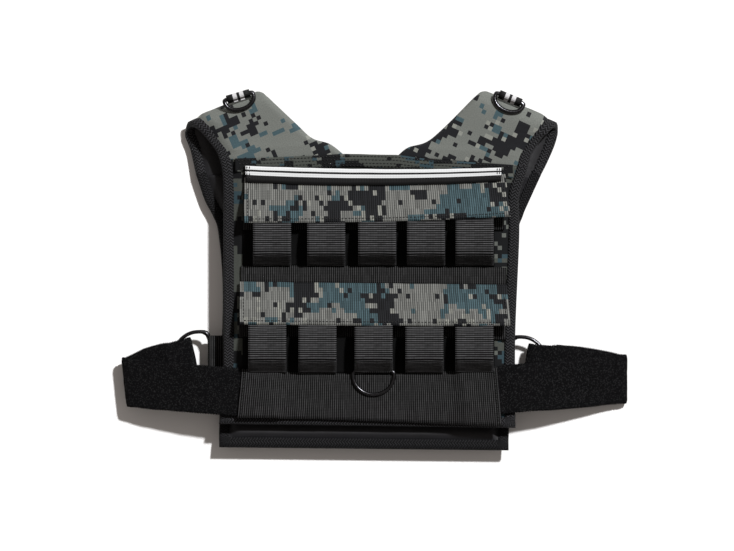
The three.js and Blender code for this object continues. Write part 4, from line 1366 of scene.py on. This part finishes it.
def rounded_copy(node, material, slot, body, flat, simple=False, swell=0.0, tuck=None):
    """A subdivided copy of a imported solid, smoothed unless simple, with a flat map.
    Smoothing thins it, so it may swell by some millimetres. A tuck of a lowest flat v and a
    direction pulls what lies below that v up to it."""
    source = bpy.data.objects[node]
    ending = "_wire" if material == steel else "_webbing"
    obj = bpy.data.objects.new(node + ending, source.data.copy())
    bpy.context.scene.collection.objects.link(obj)
    weld = obj.modifiers.new("weld", "WELD")
    weld.merge_threshold = WELD_REACH
    smooth = obj.modifiers.new("smooth", "SUBSURF")
    smooth.subdivision_type = "SIMPLE" if simple else "CATMULL_CLARK"
    smooth.levels = COPY_LEVELS
    view = obj.evaluated_get(bpy.context.evaluated_depsgraph_get())
    mesh = bpy.data.meshes.new_from_object(view)
    obj.modifiers.clear()
    obj.data = mesh
    if swell:
        directions = [v.normal.copy() for v in mesh.vertices]
        for v, direction in zip(mesh.vertices, directions):
            v.co += direction * swell * MM
    if tuck:
        limit, direction = tuck
        for v in mesh.vertices:
            below = limit - flat(v.co / MM)[1]
            if below > 0:
                v.co += direction * below * MM
    for layer in list(mesh.uv_layers):
        mesh.uv_layers.remove(layer)
    lay_map(mesh, [flat(v.co / MM) for v in mesh.vertices])
    return register(obj, material, slot, (node,), body)


print("a copy's faces are split", COPY_LEVELS, "times")

# %% Maps of rings and tabs
def turned_map(node, angle):
    """A flat map about a node's own middle, turned by an angle in radians."""
    low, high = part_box(node)
    middle = [(low[k] + high[k]) / 2 / MM for k in (0, 1)]

    def flat(p):
        x, y = p.x - middle[0], p.y - middle[1]
        return (x * math.cos(angle) + y * math.sin(angle), y * math.cos(angle) - x * math.sin(angle))
    return flat


ring_corner = Vector(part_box("centre_ring")[0]) / MM
print("a corner of the centre ring's box maps to", turned_map("centre_ring", 0)(ring_corner))

# %% Rings and tabs
THIN_SWELL = 0.45
SMALL_RING_SWELL = 0.75
TAB_MOUTH = -2.6
SHOULDER_TURNS = {"left": 0.288, "right": -0.39}

for node in ("centre_ring", "side_ring_left", "side_ring_right"):
    body = "centre_d_ring" if node == "centre_ring" else "vest"
    rounded_copy(node, steel, "ring_metal", body, turned_map(node, 0), swell=THIN_SWELL)
for node in ("centre_ring_tab", "side_ring_tab_left", "side_ring_tab_right"):
    rounded_copy(node, black_webbing, "black_webbing", "vest", turned_map(node, 0), simple=True)
for end, turn in SHOULDER_TURNS.items():
    node, tab = f"shoulder_ring_{end}", f"shoulder_ring_tab_{end}"
    way = Vector((-math.sin(turn), math.cos(turn), 0))
    rounded_copy(node, steel, "ring_metal", f"{end}_shoulder_d_ring", turned_map(node, turn),
                 swell=SMALL_RING_SWELL)
    rounded_copy(tab, tab_webbing, "black_webbing", "vest", turned_map(tab, turn), simple=True,
                 tuck=(TAB_MOUTH, way))
print("five rings and five tabs copied")

# %% [markdown]
# ## Chest hem
# The top edge of the front is a camouflage band turned over and topstitched. It follows the seam
# line, which isn't straight, so it is a grid of its own with a low crown and small puckers where
# the stitches pull it in.

# %% Hem
HEM_LEFT = -0.92
HEM_RIGHT = 0.957
HEM_DEPTH = 13.2
HEM_RISE = 1.1
HEM_CROWN = 0.9
HEM_LOW = 0.5
HEM_PULL = (0.35, 5)
HEM_WAVE = (0.4, 20)


def hem(seed):
    """The turned band that follows the chest seam, puckered by its stitches."""
    left, right = HALF * HEM_LEFT, HALF * HEM_RIGHT
    rows, columns = 8, 190

    def place(r, c):
        down = r / rows
        x = mix(left, right, c / columns)
        y = hem_line(x) + HEM_RISE - HEM_DEPTH * down
        pull = sway((x, 0, down), HEM_PULL, seed) * (1 - abs(2 * down - 1))
        crown = HEM_CROWN * math.sin(math.pi * min(max(down, 0.02), 0.98)) ** 0.5
        drift = sway((x, 3, 0), HEM_WAVE, seed)
        return (Vector((MIDDLE + x, NECKLINE + y + drift, SEAT + HEM_LOW + crown + pull)),
                Vector((MIDDLE + x, NECKLINE + y, SEAT)),
                (x * 0.9 + 700, y * 1.3 + 90))

    # The hem takes the darker cloth, whose darkness is painted shade.
    obj = shell("top_hem_cloth", grids(rows, columns, place), shaded_camo_cloth, "camo_fabric", ("top_hem",))


hem(seed=41)

# %% [markdown]
# ## Reflective tape
# Below the hem runs a black tape with two bright stripes. Real stripes send the light straight
# back to where it came from. Seen from above they are simply a flat pale grey, each with a fine
# darker line, so a ramp with hard steps across the tape draws them.

# %% Reflective tape
TAPE_SPAN = 16.0
TAPE_RIB = 1.6
TAPE_INKS = ((0.0, "#121213"), (0.6, "#121213"), (0.045, "#d2d4d5"), (0.14, "#b4b6b8"),
             (0.165, "#d2d4d5"), (0.262, "#0c0c0d"), (0.385, "#d2d4d5"), (0.48, "#b4b6b8"),
             (0.505, "#d2d4d5"))


def stripe_finish():
    """Black tape with two bright woven stripes, each with a fine grey line."""
    material, tree, shader = blank_material("retroreflective_tape")
    share = add(tree, "Math", (flat_axis(tree, 1), TAPE_SPAN), operation="DIVIDE")
    stripes = add(tree, "ValToRGB", (share,))
    ramp = stripes.node.color_ramp
    ramp.interpolation = "CONSTANT"
    for i, (position, ink) in enumerate(TAPE_INKS):
        element = ramp.elements[i] if i < 2 else ramp.elements.new(position)
        element.position = position
        element.color = linear(ink)
    coat(tree, shader, stripes, roughness=0.5, shine=0.2)
    bumped(tree, shader, wave_along(tree, flat_axis(tree, 0), TAPE_RIB), strength=0.25, distance=0.15)
    return material


strip("reflective_tape", stripe_finish(), "reflective_tape", (-0.85, -0.85), (0.879, 0.879),
      (0.033, 0.046, 0.04), (0.0956, 0.108, 0.092), UPPER_FLAP_SEAT + WEBBING + CLEAR,
      thick=CLOTH, ribs=False)

# %% [markdown]
# ## Stitches
# Rows of lockstitch hold the flaps, the band, the hem and the tape. Drawn as a line in the
# finish they would be flat, and one mesh for each would be hundreds of pieces. So every stitch
# is a small bead of thread, about 3 mm long and sunk at both ends, and all beads are one mesh.

# %% Thread
def thread_finish():
    """Bonded nylon thread, nearly black, with a slight shine."""
    material, tree, shader = blank_material("bonded_nylon_thread")
    colour = cloudy(tree, flat_mm(tree), "#0c0c0d", "#1d1d1e", size=1.25, detail=2.0)
    coat(tree, shader, colour, roughness=0.45)
    return material


thread = thread_finish()
print("finish for the stitches:", thread.name)

# %% Beads of thread
STITCH = 3.0
STITCH_GAP = 0.3
STITCH_HALF = 0.55
STITCH_SINK = Vector((0, 0, 0.25))


def bead(start, ahead):
    """Six points of one stitch: its two sunk ends, then four round its middle."""
    up = Vector((0, 0, STITCH_HALF))
    side = ahead.cross(Vector((0, 0, 1))).normalized() * STITCH_HALF
    half = ahead * STITCH / 2
    middle = start + half
    return [middle - half - STITCH_SINK, middle + half - STITCH_SINK,
            middle + side, middle + up, middle - side, middle - up]


print("a stitch is", STITCH, "mm long and", 2 * STITCH_HALF, "mm thick")

# %% Rows of stitches
def stitch_rows(name, rows, material, slot):
    """One mesh of thread beads along rows of places."""
    verts, faces = [], []
    for row in rows:
        line = curve(row, 0.5)
        used = 0.0
        start = line[0]
        for before, after in zip(line, line[1:]):
            used += (after - before).length
            if used < STITCH + STITCH_GAP:
                continue
            used = 0.0
            base = len(verts)
            verts += [p * MM for p in bead(start, (after - start).normalized())]
            for k in range(4):
                a, b = base + 2 + k, base + 2 + (k + 1) % 4
                faces += [(base, a, b), (base + 1, b, a)]
            start = after
    mesh = bpy.data.meshes.new(name)
    mesh.from_pydata(verts, [], faces)
    lay_map(mesh, [(v.co.x / MM, v.co.y / MM) for v in mesh.vertices])
    register(bpy.data.objects.new(name, mesh), material, slot, (), "vest")
    print(name, len(verts) // 6, "stitches")


def face_row(strip_name, start, end, count):
    """A row of places on a sewn strip between two pairs of shares, down and across."""
    spec = sewn[strip_name]
    shares = [k / count for k in range(count + 1)]
    lift = Vector((0, 0, spec["thick"] + THREAD_LIFT))
    return [Vector(spec["face"](mix(start[0], end[0], k), mix(start[1], end[1], k))) + lift
            for k in shares]


THREAD_LIFT = 0.4
print("thread lies", THREAD_LIFT, "mm above the webbing's face")

# %% Seams
HEM_THREAD_HEIGHT = SEAT + 1.75
HEM_THREAD_ENDS = (-134, 140)
HEM_THREAD_DROPS = (1.2, 4.6, 8.0, 10.8)
FLAP_INSETS = {"upper_flap": 3.6, "lower_flap": 3.8}
END_INSETS = (("lower_band", 3.0), ("reflective_tape", 1.6), ("reflective_tape", 4.0))

seams = []
for name, inset in FLAP_INSETS.items():
    low = 1 - inset / sewn[name]["height"]
    inside = inset / sewn[name]["width"]
    seams.append(face_row(name, (low, inside), (low, 1 - inside), 90))
    for across in (inside, 1 - inside):
        seams.append(face_row(name, (0.3, across), (low, across), 12))
for name, inset in END_INSETS:
    inside = inset / sewn[name]["width"]
    for across in (inside, 1 - inside):
        seams.append(face_row(name, (0.05, across), (0.95, across), 12))
for number, drop in enumerate(HEM_THREAD_DROPS):
    xs = range(HEM_THREAD_ENDS[0] + number, HEM_THREAD_ENDS[1], 3)
    seams.append([Vector((MIDDLE + x, NECKLINE + hem_line(x) + CLEAR - drop, HEM_THREAD_HEIGHT))
                  for x in xs])
stitch_rows("seam_stitches", seams, thread, "black_webbing")
